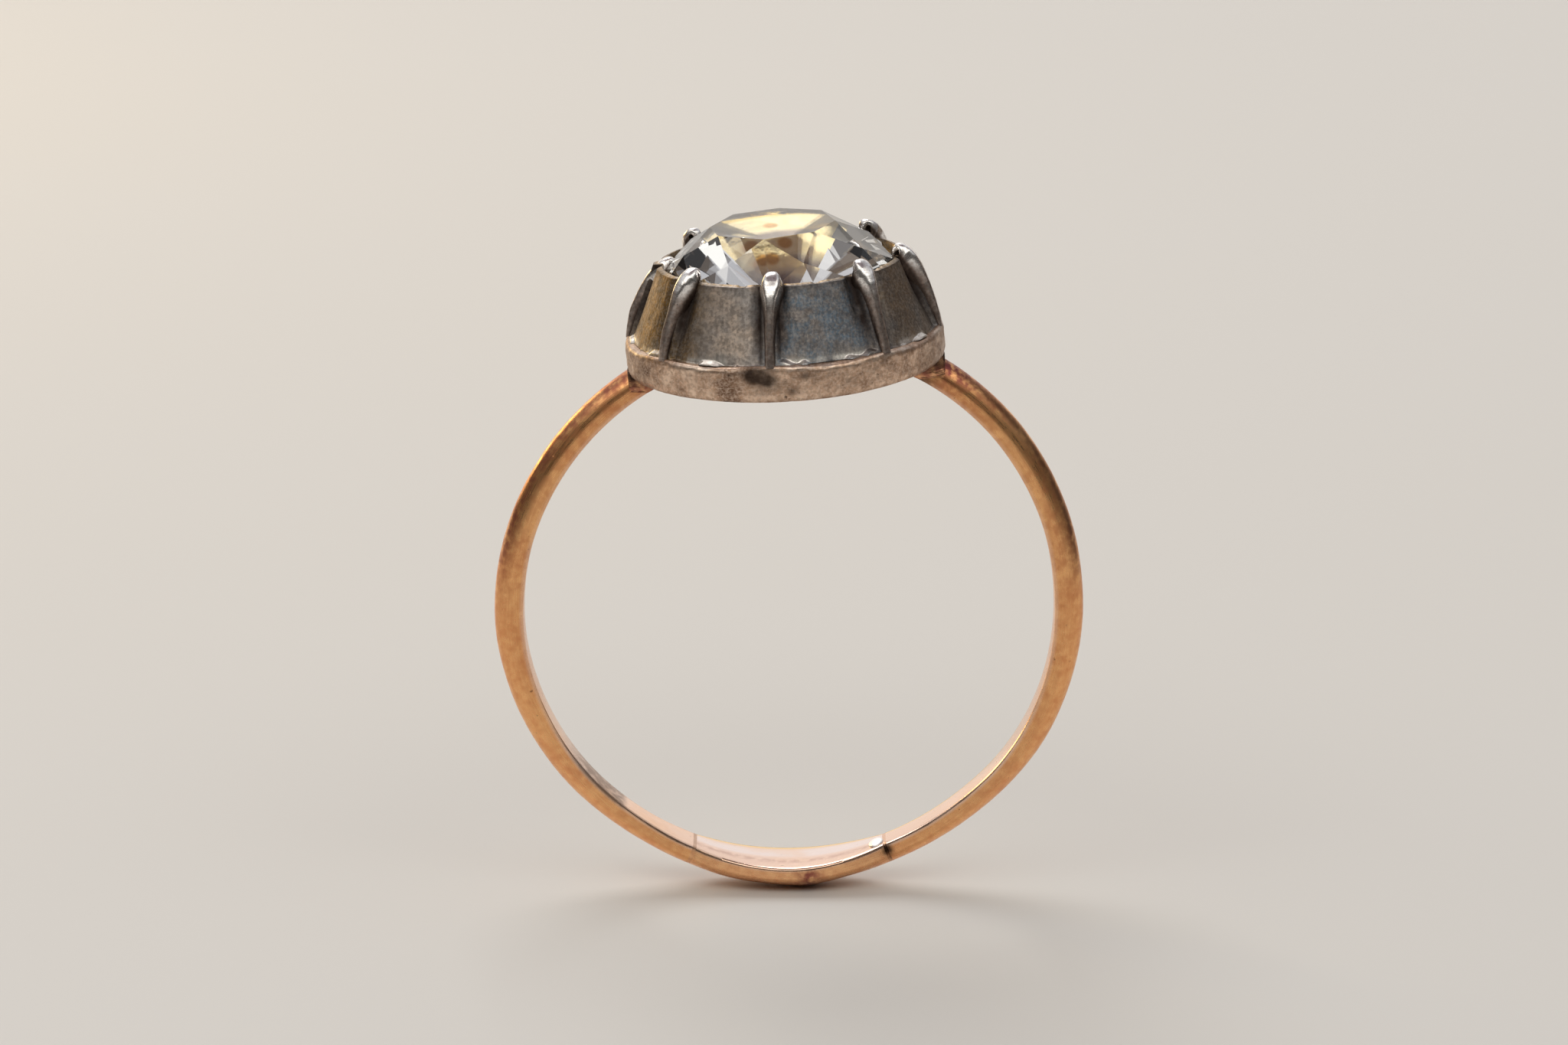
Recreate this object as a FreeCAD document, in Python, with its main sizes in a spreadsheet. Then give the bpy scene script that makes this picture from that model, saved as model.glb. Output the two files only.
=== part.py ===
import FreeCAD, Part
import os

import Sketcher

Vector = FreeCAD.Vector

# An engagement ring: a half-round gold shank with a sizing insert, and a closed-back silver
# head whose collet wall and eight claws hold a colourless stone over a cup of gold foil.
#
# Frame: the origin is the centre of the finger hole, Y runs along the finger, Z up to the stone.
# The pieces of the head are drawn about their own upright axis, with the rim's underside at
# zero, and one shared placement seats and tilts them all on the shank. Millimetres, degrees.

SIZES = {
    # shank
    "finger_diameter": 17.2,
    "shank_thickness": 0.88,
    "shank_width": 1.25,
    "shank_edge": 0.42,
    "insert_thickness": 0.86,
    "insert_width": 2.4,
    "insert_half_angle": 20.6,
    "seam_thickness": 0.12,
    # where the head sits on the shank
    "head_drop": 0.60,
    "head_tilt": 3.3,
    "head_shift": -0.13,
    "head_turn": -5,
    # solder that joins the arms to the head
    "solder_depth": 0.55,
    "solder_margin": 0.25,
    # rim and closed back
    "rim_radius": 5.12,
    "rim_height": 1.05,
    "rim_wall": 0.65,
    "rim_round": 0.15,
    "back_dome": 0.40,
    "back_thickness": 0.35,
    # collet wall
    "wall_setback": 0.15,
    "wall_height": 2.35,
    "wall_foot_thickness": 0.50,
    "bezel_thickness": 0.32,
    "bezel_lap": 0.20,
    "seat_width": 0.45,
    "seat_depth": 0.30,
    "panel_depth": 0.12,
    "panel_lip": 0.25,
    # stone and foil
    "stone_radius": 3.72,
    "stone_clearance": 0.02,
    "girdle_height": 0.12,
    "crown_height": 1.34,
    "table_radius": 2.00,
    "star_share": 0.5,
    "pavilion_depth": 2.2,
    "culet_radius": 0.15,
    "foil_thickness": 0.08,
    "foil_clearance": 0.03,
    # claws
    "claw_count": 8,
    "claw_setback": 0.05,
    "claw_root": 0.15,
    "claw_proud": 0.33,
    "claw_rise": 0.42,
    "claw_reach": 0.42,
    "claw_tip_width": 0.58,
    "claw_foot_width": 0.36,
}

# Sizes worked out from the ones above, as expressions on the sheet's cells.
FINGER_RADIUS = "(Sizes.finger_diameter / 2)"
HEAD_SEAT = f"({FINGER_RADIUS} - Sizes.head_drop)"
SEAM_ANGLE = f"(Sizes.seam_thickness / ({FINGER_RADIUS} + Sizes.shank_thickness / 2) * 180 / pi)"
HALF_STEP = "(180 / Sizes.claw_count)"
QUARTER_STEP = "(90 / Sizes.claw_count)"
HALF_STEP_COS = "cos(180 deg / Sizes.claw_count)"

RIM_BORE = "(Sizes.rim_radius - Sizes.rim_wall)"
WALL_FOOT = "(Sizes.rim_radius - Sizes.wall_setback)"
WALL_BORE = "(Sizes.stone_radius + Sizes.stone_clearance)"
WALL_TOP_RADIUS = f"({WALL_BORE} + Sizes.bezel_thickness)"
WALL_TOP = "(Sizes.rim_height + Sizes.wall_height)"
WALL_LEAN = f"(({WALL_FOOT} - {WALL_TOP_RADIUS}) / Sizes.wall_height)"
SEAT_BORE = f"({WALL_BORE} - Sizes.seat_width)"

GIRDLE_TOP = f"({WALL_TOP} - Sizes.bezel_lap)"
GIRDLE_FOOT = f"({GIRDLE_TOP} - Sizes.girdle_height)"
TABLE_LEVEL = f"({GIRDLE_TOP} + Sizes.crown_height)"
CULET_LEVEL = f"({GIRDLE_FOOT} - Sizes.pavilion_depth)"
CROWN_RUN = "((Sizes.stone_radius - Sizes.table_radius) / Sizes.crown_height)"
PAVILION_SLOPE = "(Sizes.pavilion_depth / (Sizes.stone_radius - Sizes.culet_radius))"

# The arms are swept this far up, past the head's underside, and then cut back to it. The
# solder's sleeve starts below any head and ends with the arm.
SWEEP_UP = "75"
SLEEVE_DOWN = "-40"

NODES = []


def make_sheet(document):
    """The driving dimensions: a name, a plain number with the name as alias, row by row."""
    sizes = document.addObject("Spreadsheet::Sheet", "Sizes")
    for row, (alias, size) in enumerate(SIZES.items(), start=1):
        sizes.set(f"A{row}", alias)
        sizes.set(f"B{row}", str(size))
        sizes.setAlias(f"B{row}", alias)
    document.recompute()
    return sizes


def number(expression):
    """The present value of an expression on the sheet's cells."""
    return float(sheet.evalExpression(str(expression)))


def keep(piece, label):
    """Name a finished sub-part, which is then a node of its own."""
    piece.Label = label
    NODES.append(piece)
    return piece


def new_body(name):
    return doc.addObject("PartDesign::Body", name)


def origin_feature(body, role):
    return [feature for feature in body.Origin.OriginFeatures if feature.Role == role][0]


def new_sketch(body, name, plane, turn=None, lift=None):
    """A sketch on one of the body's origin planes.

    turn swings it about the upright axis by an angle, lift raises it off its plane.
    """
    sketch = body.newObject("Sketcher::SketchObject", f"{body.Name}_{name}")
    sketch.AttachmentSupport = [(origin_feature(body, plane), "")]
    sketch.MapMode = "FlatFace"
    if turn is not None:
        swing = f"placement(vector(0; 0; 0); rotation(vector(0; 1; 0); {turn}))"
        sketch.setExpression("AttachmentOffset", swing)
    if lift is not None:
        sketch.setExpression("AttachmentOffset.Base.z", lift)
    return sketch


def pin_point(sketch, geometry, vertex, point):
    """Hold one sketch point at its two coordinates, each an expression."""
    for kind, coordinate in zip(("DistanceX", "DistanceY"), point):
        index = sketch.addConstraint(Sketcher.Constraint(kind, geometry, vertex, number(coordinate)))
        sketch.setExpression(f"Constraints[{index}]", str(coordinate))


def draw_outline(sketch, corners):
    """A closed outline of straight edges and arcs.

    corners lists (x, y) points, each an end of the edge that arrives there. A corner given as
    (x, y, via_x, via_y) is reached by an arc through the via point.
    """
    def place(point):
        return Vector(number(point[0]), number(point[1]), 0)

    edges = []
    for index, corner in enumerate(corners):
        begin = corners[index - 1]
        if len(corner) == 4:
            curve = Part.Arc(place(begin), place(corner[2:]), place(corner))
        else:
            curve = Part.LineSegment(place(begin), place(corner))
        edge = sketch.addGeometry(curve, False)
        # An arc is kept counterclockwise, so its ends may have changed places.
        ends = (1, 2)
        if sketch.getPoint(edge, 1).distanceToPoint(place(begin)) > 1e-6:
            ends = (2, 1)
        edges.append((edge, ends))
    for index, corner in enumerate(corners):
        edge, (begin_end, finish_end) = edges[index]
        next_edge, (next_begin, _) = edges[(index + 1) % len(corners)]
        sketch.addConstraint(Sketcher.Constraint("Coincident", edge, finish_end, next_edge, next_begin))
        pin_point(sketch, edge, finish_end, corner[:2])
        if len(corner) == 4:
            via = sketch.addGeometry(Part.Point(place(corner[2:])), True)
            pin_point(sketch, via, 1, corner[2:])
            sketch.addConstraint(Sketcher.Constraint("PointOnObject", via, 1, edge))


def revolve(body, sketch, axis, angle=360, back_angle=None, midplane=False):
    """Turn a sketch about one of its own axes into a solid of revolution."""
    solid = body.newObject("PartDesign::Revolution", f"{sketch.Name}_turned")
    solid.Profile = sketch
    solid.ReferenceAxis = (sketch, [axis])
    if back_angle is not None:
        solid.Type = "TwoAngles"
        solid.setExpression("Angle2", str(back_angle))
    solid.Midplane = midplane
    solid.setExpression("Angle", str(angle))
    sketch.Visibility = False
    return solid


def groove(body, sketch):
    """Take away the solid that the sketch sweeps in a full turn about the upright axis."""
    cut = body.newObject("PartDesign::Groove", f"{sketch.Name}_groove")
    cut.Profile = sketch
    cut.ReferenceAxis = (sketch, ["V_Axis"])
    cut.Angle = 360
    return cut


def facet_cut(body, sketch, reach):
    """Take away everything that the sketch covers, to both sides of its plane, and repeat it
    round the upright axis, once for each claw."""
    cut = body.newObject("PartDesign::Pocket", f"{sketch.Name}_cut")
    cut.Profile = sketch
    cut.Midplane = True
    cut.setExpression("Length", reach)
    pattern = body.newObject("PartDesign::PolarPattern", f"{sketch.Name}_round")
    pattern.Originals = [cut]
    pattern.Axis = (origin_feature(body, "Z_Axis"), [""])
    pattern.Angle = 360
    pattern.setExpression("Occurrences", "Sizes.claw_count")
    body.Tip = pattern
    return pattern


def seat_on_shank(piece, turn="0", lift="0"):
    """Place a piece of the head: turned and lifted along the head's axis, then tilted and seated."""
    seat = f"placement(vector(Sizes.head_shift; 0; {HEAD_SEAT}); rotation(vector(0; 1; 0); -Sizes.head_tilt))"
    spin = f"placement(vector(0; 0; {lift}); rotation(vector(0; 0; 1); {turn}))"
    piece.setExpression("Placement", f"{seat} * {spin}")
    return piece


def claw_turn(index):
    """The bearing of a claw: the first is head_turn from the front, the rest evenly round."""
    return f"(Sizes.head_turn - 90 + {index} * 360 / Sizes.claw_count)"


def wall_radius(level):
    """The outer radius of the tapering wall at a level."""
    return f"({WALL_FOOT} - ({level} - Sizes.rim_height) * {WALL_LEAN})"


def crown_radius(level):
    """How far the crown's main facets stand from the axis at a level."""
    return f"(Sizes.stone_radius - ({level} - {GIRDLE_TOP}) * {CROWN_RUN})"


def pavilion_level(radius):
    """Where the ridges between the pavilion's facets pass a radius, less the stone's clearance."""
    return (f"({GIRDLE_FOOT} - (Sizes.stone_radius - {radius} * {HALF_STEP_COS}) * {PAVILION_SLOPE}"
            " - Sizes.stone_clearance)")


def dome_middle(level):
    """The point halfway out along a dome whose edge, at the rim's bore, stands at a level."""
    sphere = f"(({RIM_BORE} ^ 2 + Sizes.back_dome ^ 2) / (2 * Sizes.back_dome))"
    drop = f"(sqrt({sphere} ^ 2 - ({RIM_BORE} / 2) ^ 2) - {sphere} + Sizes.back_dome)"
    return (f"({RIM_BORE} / 2)", f"({level} - {drop})")


def shank_section(thickness, grow="0", width="Sizes.shank_width"):
    """A half-round section standing up from the finger hole: flat inside, crowned outside."""
    inner = f"({FINGER_RADIUS} - {grow})"
    edge = f"({FINGER_RADIUS} + Sizes.shank_edge + {grow})"
    crown = f"({FINGER_RADIUS} + {thickness} + {grow})"
    half = f"({width} / 2 + {grow})"
    return inner, edge, crown, half


# Shank -----------------------------------------------------------------------------------


def sweep_upright(body, sketch, side, down, up):
    """Sweep a section round the finger hole, so far down and up from its widest point.

    A positive turn goes down at +X and up at -X.
    """
    if side > 0:
        revolve(body, sketch, "V_Axis", down, up)
    else:
        revolve(body, sketch, "V_Axis", up, down)


def make_arm(name, side, head_space):
    """One gold arm, from the sizing seam up to the underside of the head.

    side is 1 for the arm at +X and -1 for the other. It is swept past the head's underside and
    cut back to it.
    """
    body = new_body(f"{name}_sweep")
    sketch = new_sketch(body, "section", "XY_Plane")
    inner, edge, crown, half = shank_section("Sizes.shank_thickness")
    draw_outline(sketch, [
        (f"{side} * {inner}", f"-{half}"),
        (f"{side} * {edge}", f"-{half}"),
        (f"{side} * {edge}", half, f"{side} * {crown}", "0"),
        (f"{side} * {inner}", half),
    ])
    down = f"(90 - Sizes.insert_half_angle - {SEAM_ANGLE})"
    sweep_upright(body, sketch, side, down, SWEEP_UP)
    arm = doc.addObject("Part::Cut", name)
    arm.Base = body
    arm.Tool = head_space
    return keep(arm, name)


def lower_arc(name, thickness, width, angle, turn="0"):
    """A stretch of the shank about its lowest point, swung round the finger hole by turn."""
    body = new_body(name)
    sketch = new_sketch(body, "section", "YZ_Plane")
    inner, edge, crown, half = shank_section(thickness, width=width)
    draw_outline(sketch, [
        (f"-{half}", f"-{inner}"),
        (f"-{half}", f"-{edge}"),
        (half, f"-{edge}", "0", f"-{crown}"),
        (half, f"-{inner}"),
    ])
    revolve(body, sketch, "H_Axis", angle, midplane=True)
    body.setExpression("Placement", f"placement(vector(0; 0; 0); rotation(vector(0; 1; 0); {turn}))")
    return body


def make_insert(name):
    """The sizing insert: as wide as the arms at its seams, and bowed out to its own width
    in the middle."""
    blank = lower_arc(f"{name}_blank", "Sizes.insert_thickness", "Sizes.insert_width", "2 * Sizes.insert_half_angle")
    plan = new_body(f"{name}_plan")
    sketch = new_sketch(plan, "plan_outline", "XY_Plane")
    seam = f"({FINGER_RADIUS} * sin(Sizes.insert_half_angle))"
    end = f"({seam} + Sizes.shank_thickness)"
    narrow = "Sizes.shank_width / 2"
    wide = "Sizes.insert_width / 2"
    draw_outline(sketch, [
        (f"-{end}", f"-{narrow}"),
        (f"-{seam}", f"-{narrow}"),
        (seam, f"-{narrow}", "0", f"-{wide}"),
        (end, f"-{narrow}"),
        (end, narrow),
        (seam, narrow),
        (f"-{seam}", narrow, "0", wide),
        (f"-{end}", narrow),
    ])
    pad = plan.newObject("PartDesign::Pad", f"{name}_prism")
    pad.Profile = sketch
    pad.Midplane = True
    pad.setExpression("Length", "4 * Sizes.finger_diameter")
    insert = doc.addObject("Part::Common", name)
    insert.Base = blank
    insert.Tool = plan
    return keep(insert, name)


def make_shoulder_solder(name, side, arm, head_space):
    """Solder round the top of an arm, filling the corner below the rim."""
    sleeve = new_body(f"{name}_sleeve")
    sketch = new_sketch(sleeve, "section", "XY_Plane")
    inner, edge, crown, half = shank_section("Sizes.shank_thickness", "Sizes.solder_margin")
    draw_outline(sketch, [
        (f"{side} * {inner}", f"-{half}"),
        (f"{side} * {crown}", f"-{half}"),
        (f"{side} * {crown}", half),
        (f"{side} * {inner}", half),
    ])
    sweep_upright(sleeve, sketch, side, SLEEVE_DOWN, SWEEP_UP)
    disc = doc.addObject("Part::Cylinder", f"{name}_disc")
    disc.setExpression("Radius", "Sizes.rim_radius - Sizes.rim_round")
    disc.setExpression("Height", "Sizes.solder_depth + Sizes.rim_round")
    seat_on_shank(disc, lift="-Sizes.solder_depth")
    ring = doc.addObject("Part::Common", f"{name}_ring")
    ring.Base = sleeve
    ring.Tool = disc
    below = doc.addObject("Part::Cut", f"{name}_below")
    below.Base = ring
    below.Tool = head_space
    solder = doc.addObject("Part::Cut", name)
    solder.Base = below
    solder.Tool = arm
    return keep(solder, name)


def make_head_space():
    """Everything above the head's underside: what the arms and their solder stop against."""
    body = new_body("head_space")
    sketch = new_sketch(body, "section", "XZ_Plane")
    draw_outline(sketch, [
        ("0", "-Sizes.back_dome"),
        (RIM_BORE, "0") + dome_middle("0"),
        ("2 * Sizes.rim_radius", "0"),
        ("2 * Sizes.rim_radius", WALL_TOP),
        ("0", WALL_TOP),
    ])
    revolve(body, sketch, "V_Axis")
    return seat_on_shank(body)


# Head ------------------------------------------------------------------------------------


def make_back_plate():
    """The domed sheet that closes the head below."""
    body = new_body("back_plate")
    sketch = new_sketch(body, "section", "XZ_Plane")
    draw_outline(sketch, [
        ("0", "-Sizes.back_dome"),
        (RIM_BORE, "0") + dome_middle("0"),
        (RIM_BORE, "Sizes.back_thickness"),
        ("0", "Sizes.back_thickness - Sizes.back_dome") + dome_middle("Sizes.back_thickness"),
    ])
    revolve(body, sketch, "V_Axis")
    return keep(seat_on_shank(body), "back_plate")


def make_base_rim():
    """The plain band that carries the wall and the claws, rounded at its two outer edges."""
    body = new_body("base_rim")
    sketch = new_sketch(body, "section", "XZ_Plane")
    flat = "(Sizes.rim_radius - Sizes.rim_round)"
    swell = "(Sizes.rim_round * (1 - cos(45 deg)))"
    draw_outline(sketch, [
        (RIM_BORE, "0"),
        (flat, "0"),
        ("Sizes.rim_radius", "Sizes.rim_round", f"Sizes.rim_radius - {swell}", swell),
        ("Sizes.rim_radius", "Sizes.rim_height - Sizes.rim_round"),
        (flat, "Sizes.rim_height", f"Sizes.rim_radius - {swell}", f"Sizes.rim_height - {swell}"),
        (RIM_BORE, "Sizes.rim_height"),
    ])
    revolve(body, sketch, "V_Axis")
    return keep(seat_on_shank(body), "base_rim")


def make_collet_wall():
    """The tapering wall, with a flat panel between each two claws and a seat for the stone."""
    body = new_body("collet_wall")
    section = new_sketch(body, "section", "XZ_Plane")
    seat_foot = pavilion_level(SEAT_BORE)
    draw_outline(section, [
        (WALL_FOOT, "Sizes.rim_height"),
        (WALL_TOP_RADIUS, WALL_TOP),
        (WALL_BORE, WALL_TOP),
        (WALL_BORE, pavilion_level(WALL_BORE)),
        (SEAT_BORE, seat_foot),
        (SEAT_BORE, f"{seat_foot} - Sizes.seat_depth"),
        (f"{WALL_FOOT} - Sizes.wall_foot_thickness", "Sizes.rim_height"),
    ])
    revolve(body, section, "V_Axis")
    panel = new_sketch(body, "panel", "XZ_Plane", turn=HALF_STEP)
    lip = "(Sizes.rim_height + Sizes.panel_lip)"
    draw_outline(panel, [
        (f"{wall_radius(lip)} - Sizes.panel_depth", lip),
        ("Sizes.rim_radius", lip),
        ("Sizes.rim_radius", WALL_TOP),
        (f"{WALL_TOP_RADIUS} - Sizes.panel_depth", WALL_TOP),
    ])
    facet_cut(body, panel, "2 * Sizes.rim_radius")
    return keep(seat_on_shank(body, claw_turn(0)), "collet_wall")


def make_claw(index):
    """One claw: a fin up the wall whose head laps over the crown.

    Its side outline stands on the rim and bears on the crown's main facet; the wall's own
    outline is turned out of it, and its face is cut to a teardrop, broad at the tip.
    """
    name = f"claw_{index + 1}"
    body = new_body(name)
    side = new_sketch(body, "side", "XZ_Plane")
    foot = "(Sizes.rim_radius - Sizes.claw_setback)"
    tip_top = f"({WALL_TOP} + Sizes.claw_rise)"
    brow = f"({WALL_TOP_RADIUS} + 0.1 * Sizes.claw_proud)"
    brow_level = f"({WALL_TOP} + 0.75 * Sizes.claw_rise)"
    middle = "(Sizes.rim_height + 0.6 * Sizes.wall_height)"
    nose = "(Sizes.stone_radius - Sizes.claw_reach)"
    nose_level = f"({GIRDLE_TOP} + (Sizes.claw_reach + Sizes.stone_clearance) / {CROWN_RUN})"
    throat = f"({crown_radius(WALL_TOP)} + Sizes.stone_clearance)"
    draw_outline(side, [
        (foot, "Sizes.rim_height"),
        (brow, brow_level, f"{wall_radius(middle)} + Sizes.claw_proud", middle),
        (nose, nose_level, f"({nose} + {brow}) / 2 - 0.08 * Sizes.claw_rise", tip_top),
        (throat, WALL_TOP),
        (f"{WALL_TOP_RADIUS} - Sizes.claw_root", WALL_TOP),
        (f"{WALL_FOOT} - Sizes.claw_root", "Sizes.rim_height"),
    ])
    pad = body.newObject("PartDesign::Pad", f"{name}_blade")
    pad.Profile = side
    pad.Midplane = True
    pad.setExpression("Length", "2 * Sizes.claw_tip_width")

    wall = new_sketch(body, "wall", "XZ_Plane")
    draw_outline(wall, [
        ("0", "Sizes.rim_height"),
        (WALL_FOOT, "Sizes.rim_height"),
        (WALL_TOP_RADIUS, WALL_TOP),
        ("0", WALL_TOP),
    ])
    groove(body, wall)

    tip = "(Sizes.claw_tip_width / 2)"
    edge = "(Sizes.claw_foot_width / 2)"
    cheek = f"({WALL_TOP} + Sizes.claw_rise - {tip})"
    for flank, sign in (("left", "-"), ("right", "")):
        face = new_sketch(body, flank, "YZ_Plane")
        draw_outline(face, [
            (f"{sign}{edge}", "Sizes.rim_height"),
            (f"{sign}{tip}", cheek),
            ("0", tip_top, f"{sign}{tip} * cos(45 deg)", f"{cheek} + {tip} * sin(45 deg)"),
            ("0", f"{tip_top} + Sizes.claw_rise"),
            (f"{sign}2 * Sizes.claw_tip_width", f"{tip_top} + Sizes.claw_rise"),
            (f"{sign}2 * Sizes.claw_tip_width", "Sizes.rim_height"),
        ])
        trim = body.newObject("PartDesign::Pocket", f"{name}_{flank}_trim")
        trim.Profile = face
        trim.Midplane = True
        trim.setExpression("Length", "4 * Sizes.rim_radius")
    return keep(seat_on_shank(body, claw_turn(index)), name)


def make_foil_cup():
    """Thin gold foil lying just under the pavilion, its rim against the seat."""
    body = new_body("foil_cup")
    sketch = new_sketch(body, "section", "XZ_Plane")
    well = f"(Sizes.culet_radius / {HALF_STEP_COS})"
    gap = "Sizes.foil_clearance"
    under = "(Sizes.foil_clearance + Sizes.foil_thickness)"
    draw_outline(sketch, [
        ("0", f"{pavilion_level(well)} - {under}"),
        (well, f"{pavilion_level(well)} - {under}"),
        (SEAT_BORE, f"{pavilion_level(SEAT_BORE)} - {under}"),
        (SEAT_BORE, f"{pavilion_level(SEAT_BORE)} - {gap}"),
        (well, f"{pavilion_level(well)} - {gap}"),
        ("0", f"{pavilion_level(well)} - {gap}"),
    ])
    revolve(body, sketch, "V_Axis")
    return keep(seat_on_shank(body), "foil_cup")


def make_gemstone():
    """The stone, cut as a lapidary cuts it: a round blank, then each ring of facets in turn.

    The table has a corner towards each claw and a main facet runs down from it. Star facets
    slope off the table's edges to the points where the upper girdle facets meet.
    """
    body = new_body("gemstone")
    blank = new_sketch(body, "blank", "XY_Plane", lift=CULET_LEVEL)
    blank.addGeometry(Part.Circle(Vector(0, 0, 0), Vector(0, 0, 1), number("Sizes.stone_radius")), False)
    blank.addConstraint(Sketcher.Constraint("Coincident", 0, 3, -1, 1))
    radius = blank.addConstraint(Sketcher.Constraint("Radius", 0, number("Sizes.stone_radius")))
    blank.setExpression(f"Constraints[{radius}]", "Sizes.stone_radius")
    pad = body.newObject("PartDesign::Pad", "gemstone_rough")
    pad.Profile = blank
    pad.setExpression("Length", f"{TABLE_LEVEL} - {CULET_LEVEL}")

    outside = "(1.5 * Sizes.stone_radius)"
    reach = "4 * Sizes.stone_radius"
    star_level = f"({GIRDLE_TOP} + Sizes.star_share * Sizes.crown_height)"
    star = f"({crown_radius(star_level)} / {HALF_STEP_COS})"
    upper = f"({star} * cos(90 deg / Sizes.claw_count))"
    facets = (
        ("main", None, "Sizes.stone_radius", GIRDLE_TOP, "Sizes.table_radius", TABLE_LEVEL),
        ("star", HALF_STEP, star, star_level, f"(Sizes.table_radius * {HALF_STEP_COS})", TABLE_LEVEL),
        ("upper_left", QUARTER_STEP, "Sizes.stone_radius", GIRDLE_TOP, upper, star_level),
        ("upper_right", f"-{QUARTER_STEP}", "Sizes.stone_radius", GIRDLE_TOP, upper, star_level),
        ("pavilion", None, "Sizes.stone_radius", GIRDLE_FOOT, "Sizes.culet_radius", CULET_LEVEL),
    )
    for name, turn, outer, outer_level, inner, inner_level in facets:
        sketch = new_sketch(body, name, "XZ_Plane", turn=turn)
        draw_outline(sketch, [
            (outer, outer_level),
            (outside, outer_level),
            (outside, inner_level),
            (inner, inner_level),
        ])
        facet_cut(body, sketch, reach)
    return keep(seat_on_shank(body, claw_turn(0)), "gemstone")


def check(document):
    """Stop if any object failed, or if a sub-part's shape is missing, invalid or not one solid."""
    for item in document.Objects:
        if "Invalid" in item.State or "Error" in item.State:
            raise RuntimeError(f"{item.Label} is {item.State}")
    for node in NODES:
        if node.Shape.isNull() or not node.Shape.isValid():
            raise RuntimeError(f"{node.Label} has no valid shape")
        if len(node.Shape.Solids) != 1:
            raise RuntimeError(f"{node.Label} has {len(node.Shape.Solids)} solids")


doc = FreeCAD.newDocument("engagement_ring")
sheet = make_sheet(doc)
space = make_head_space()

arms = {}
for side_name, side_sign in (("left", -1), ("right", 1)):
    arms[side_name] = make_arm(f"shank_arm_{side_name}", side_sign, space)
    make_shoulder_solder(f"shoulder_solder_{side_name}", side_sign, arms[side_name], space)
    seam_turn = f"(-{side_sign} * (Sizes.insert_half_angle + {SEAM_ANGLE} / 2))"
    seam = lower_arc(f"sizing_seam_{side_name}", "Sizes.shank_thickness", "Sizes.shank_width", SEAM_ANGLE, seam_turn)
    keep(seam, f"sizing_seam_{side_name}")
make_insert("sizing_insert")

make_back_plate()
make_base_rim()
make_collet_wall()
make_foil_cup()
make_gemstone()
for claw in range(int(SIZES["claw_count"])):
    make_claw(claw)

doc.recompute()
check(doc)
os.makedirs("parts", exist_ok=True)
for node in NODES:
    node.Shape.exportStep(f"parts/{node.Label}.step")
    print(f"{node.Label:24s} {node.Shape.Volume:9.3f} mm3")
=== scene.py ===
"""Looks of an engagement ring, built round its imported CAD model.

A half-round gold shank with a sizing insert carries a closed-back silver head, whose collet wall
and claws hold a colourless stone over gold foil. Sizes are in millimetres and angles in degrees
until a mesh is made. The ring's frame is the CAD model's: the origin is the centre of the finger
hole, Y runs along the finger and Z up to the stone. The head's own frame has its underside at
zero and its axis upright, and HeadSeat carries it to its tilted place on the shank.
"""

import logging
import math
from dataclasses import dataclass, field
from enum import Enum

import bpy
import numpy as np
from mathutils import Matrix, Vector


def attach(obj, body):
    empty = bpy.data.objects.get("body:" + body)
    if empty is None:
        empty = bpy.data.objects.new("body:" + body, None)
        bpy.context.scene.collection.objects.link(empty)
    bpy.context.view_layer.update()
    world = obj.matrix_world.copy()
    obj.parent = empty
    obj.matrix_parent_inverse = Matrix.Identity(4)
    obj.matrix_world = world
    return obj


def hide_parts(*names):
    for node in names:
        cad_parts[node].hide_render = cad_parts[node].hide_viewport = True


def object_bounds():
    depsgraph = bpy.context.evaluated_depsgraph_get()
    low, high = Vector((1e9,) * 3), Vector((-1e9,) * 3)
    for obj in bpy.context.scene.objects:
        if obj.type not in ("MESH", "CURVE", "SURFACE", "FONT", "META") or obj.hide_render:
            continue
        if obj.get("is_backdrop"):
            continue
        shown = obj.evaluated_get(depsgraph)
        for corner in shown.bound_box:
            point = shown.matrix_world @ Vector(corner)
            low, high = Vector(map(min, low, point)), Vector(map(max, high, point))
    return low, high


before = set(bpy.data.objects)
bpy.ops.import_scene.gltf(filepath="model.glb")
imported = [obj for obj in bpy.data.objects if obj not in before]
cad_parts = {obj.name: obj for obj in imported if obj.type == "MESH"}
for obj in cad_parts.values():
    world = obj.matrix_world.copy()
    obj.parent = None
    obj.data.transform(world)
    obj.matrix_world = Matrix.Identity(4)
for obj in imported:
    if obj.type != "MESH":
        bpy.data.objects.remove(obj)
CAD_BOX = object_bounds()

LOG = logging.getLogger("ring")
MM = 0.001
BODY = "root"
Array = np.ndarray
Triple = tuple[float, float, float]
Colour = Triple
Stops = tuple[tuple[float, Colour], ...]
Knots = tuple[tuple[float, float], ...]


# Arithmetic shared by the surfaces ----------------------------------------------------------


def bump(x: Array, centre: float, width: float) -> Array:
    """A smooth hill of height one: e to the minus square of (x - centre) / width."""
    return np.exp(-(((x - centre) / width) ** 2))


def ease(x: Array, low: float, high: float) -> Array:
    """Rise smoothly from 0 at low to 1 at high, as 3t^2 - 2t^3 of the share t."""
    t = np.clip((x - low) / (high - low), 0.0, 1.0)
    return t * t * (3.0 - 2.0 * t)


def settle_between(angle: Array, knots: Knots, reach: float) -> Array:
    """A value by angle, smoothed between knots.

    Each knot counts by a hill of e to the minus square of its distance over the reach, the
    short way round, and the value is the average of the knots so weighed.
    """
    weights = values = 0.0
    for place, value in knots:
        away = (angle - place + 180.0) % 360.0 - 180.0
        weight = np.exp(-((away / reach) ** 2)) + 1e-9
        weights, values = weights + weight, values + weight * value
    return values / weights


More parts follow.
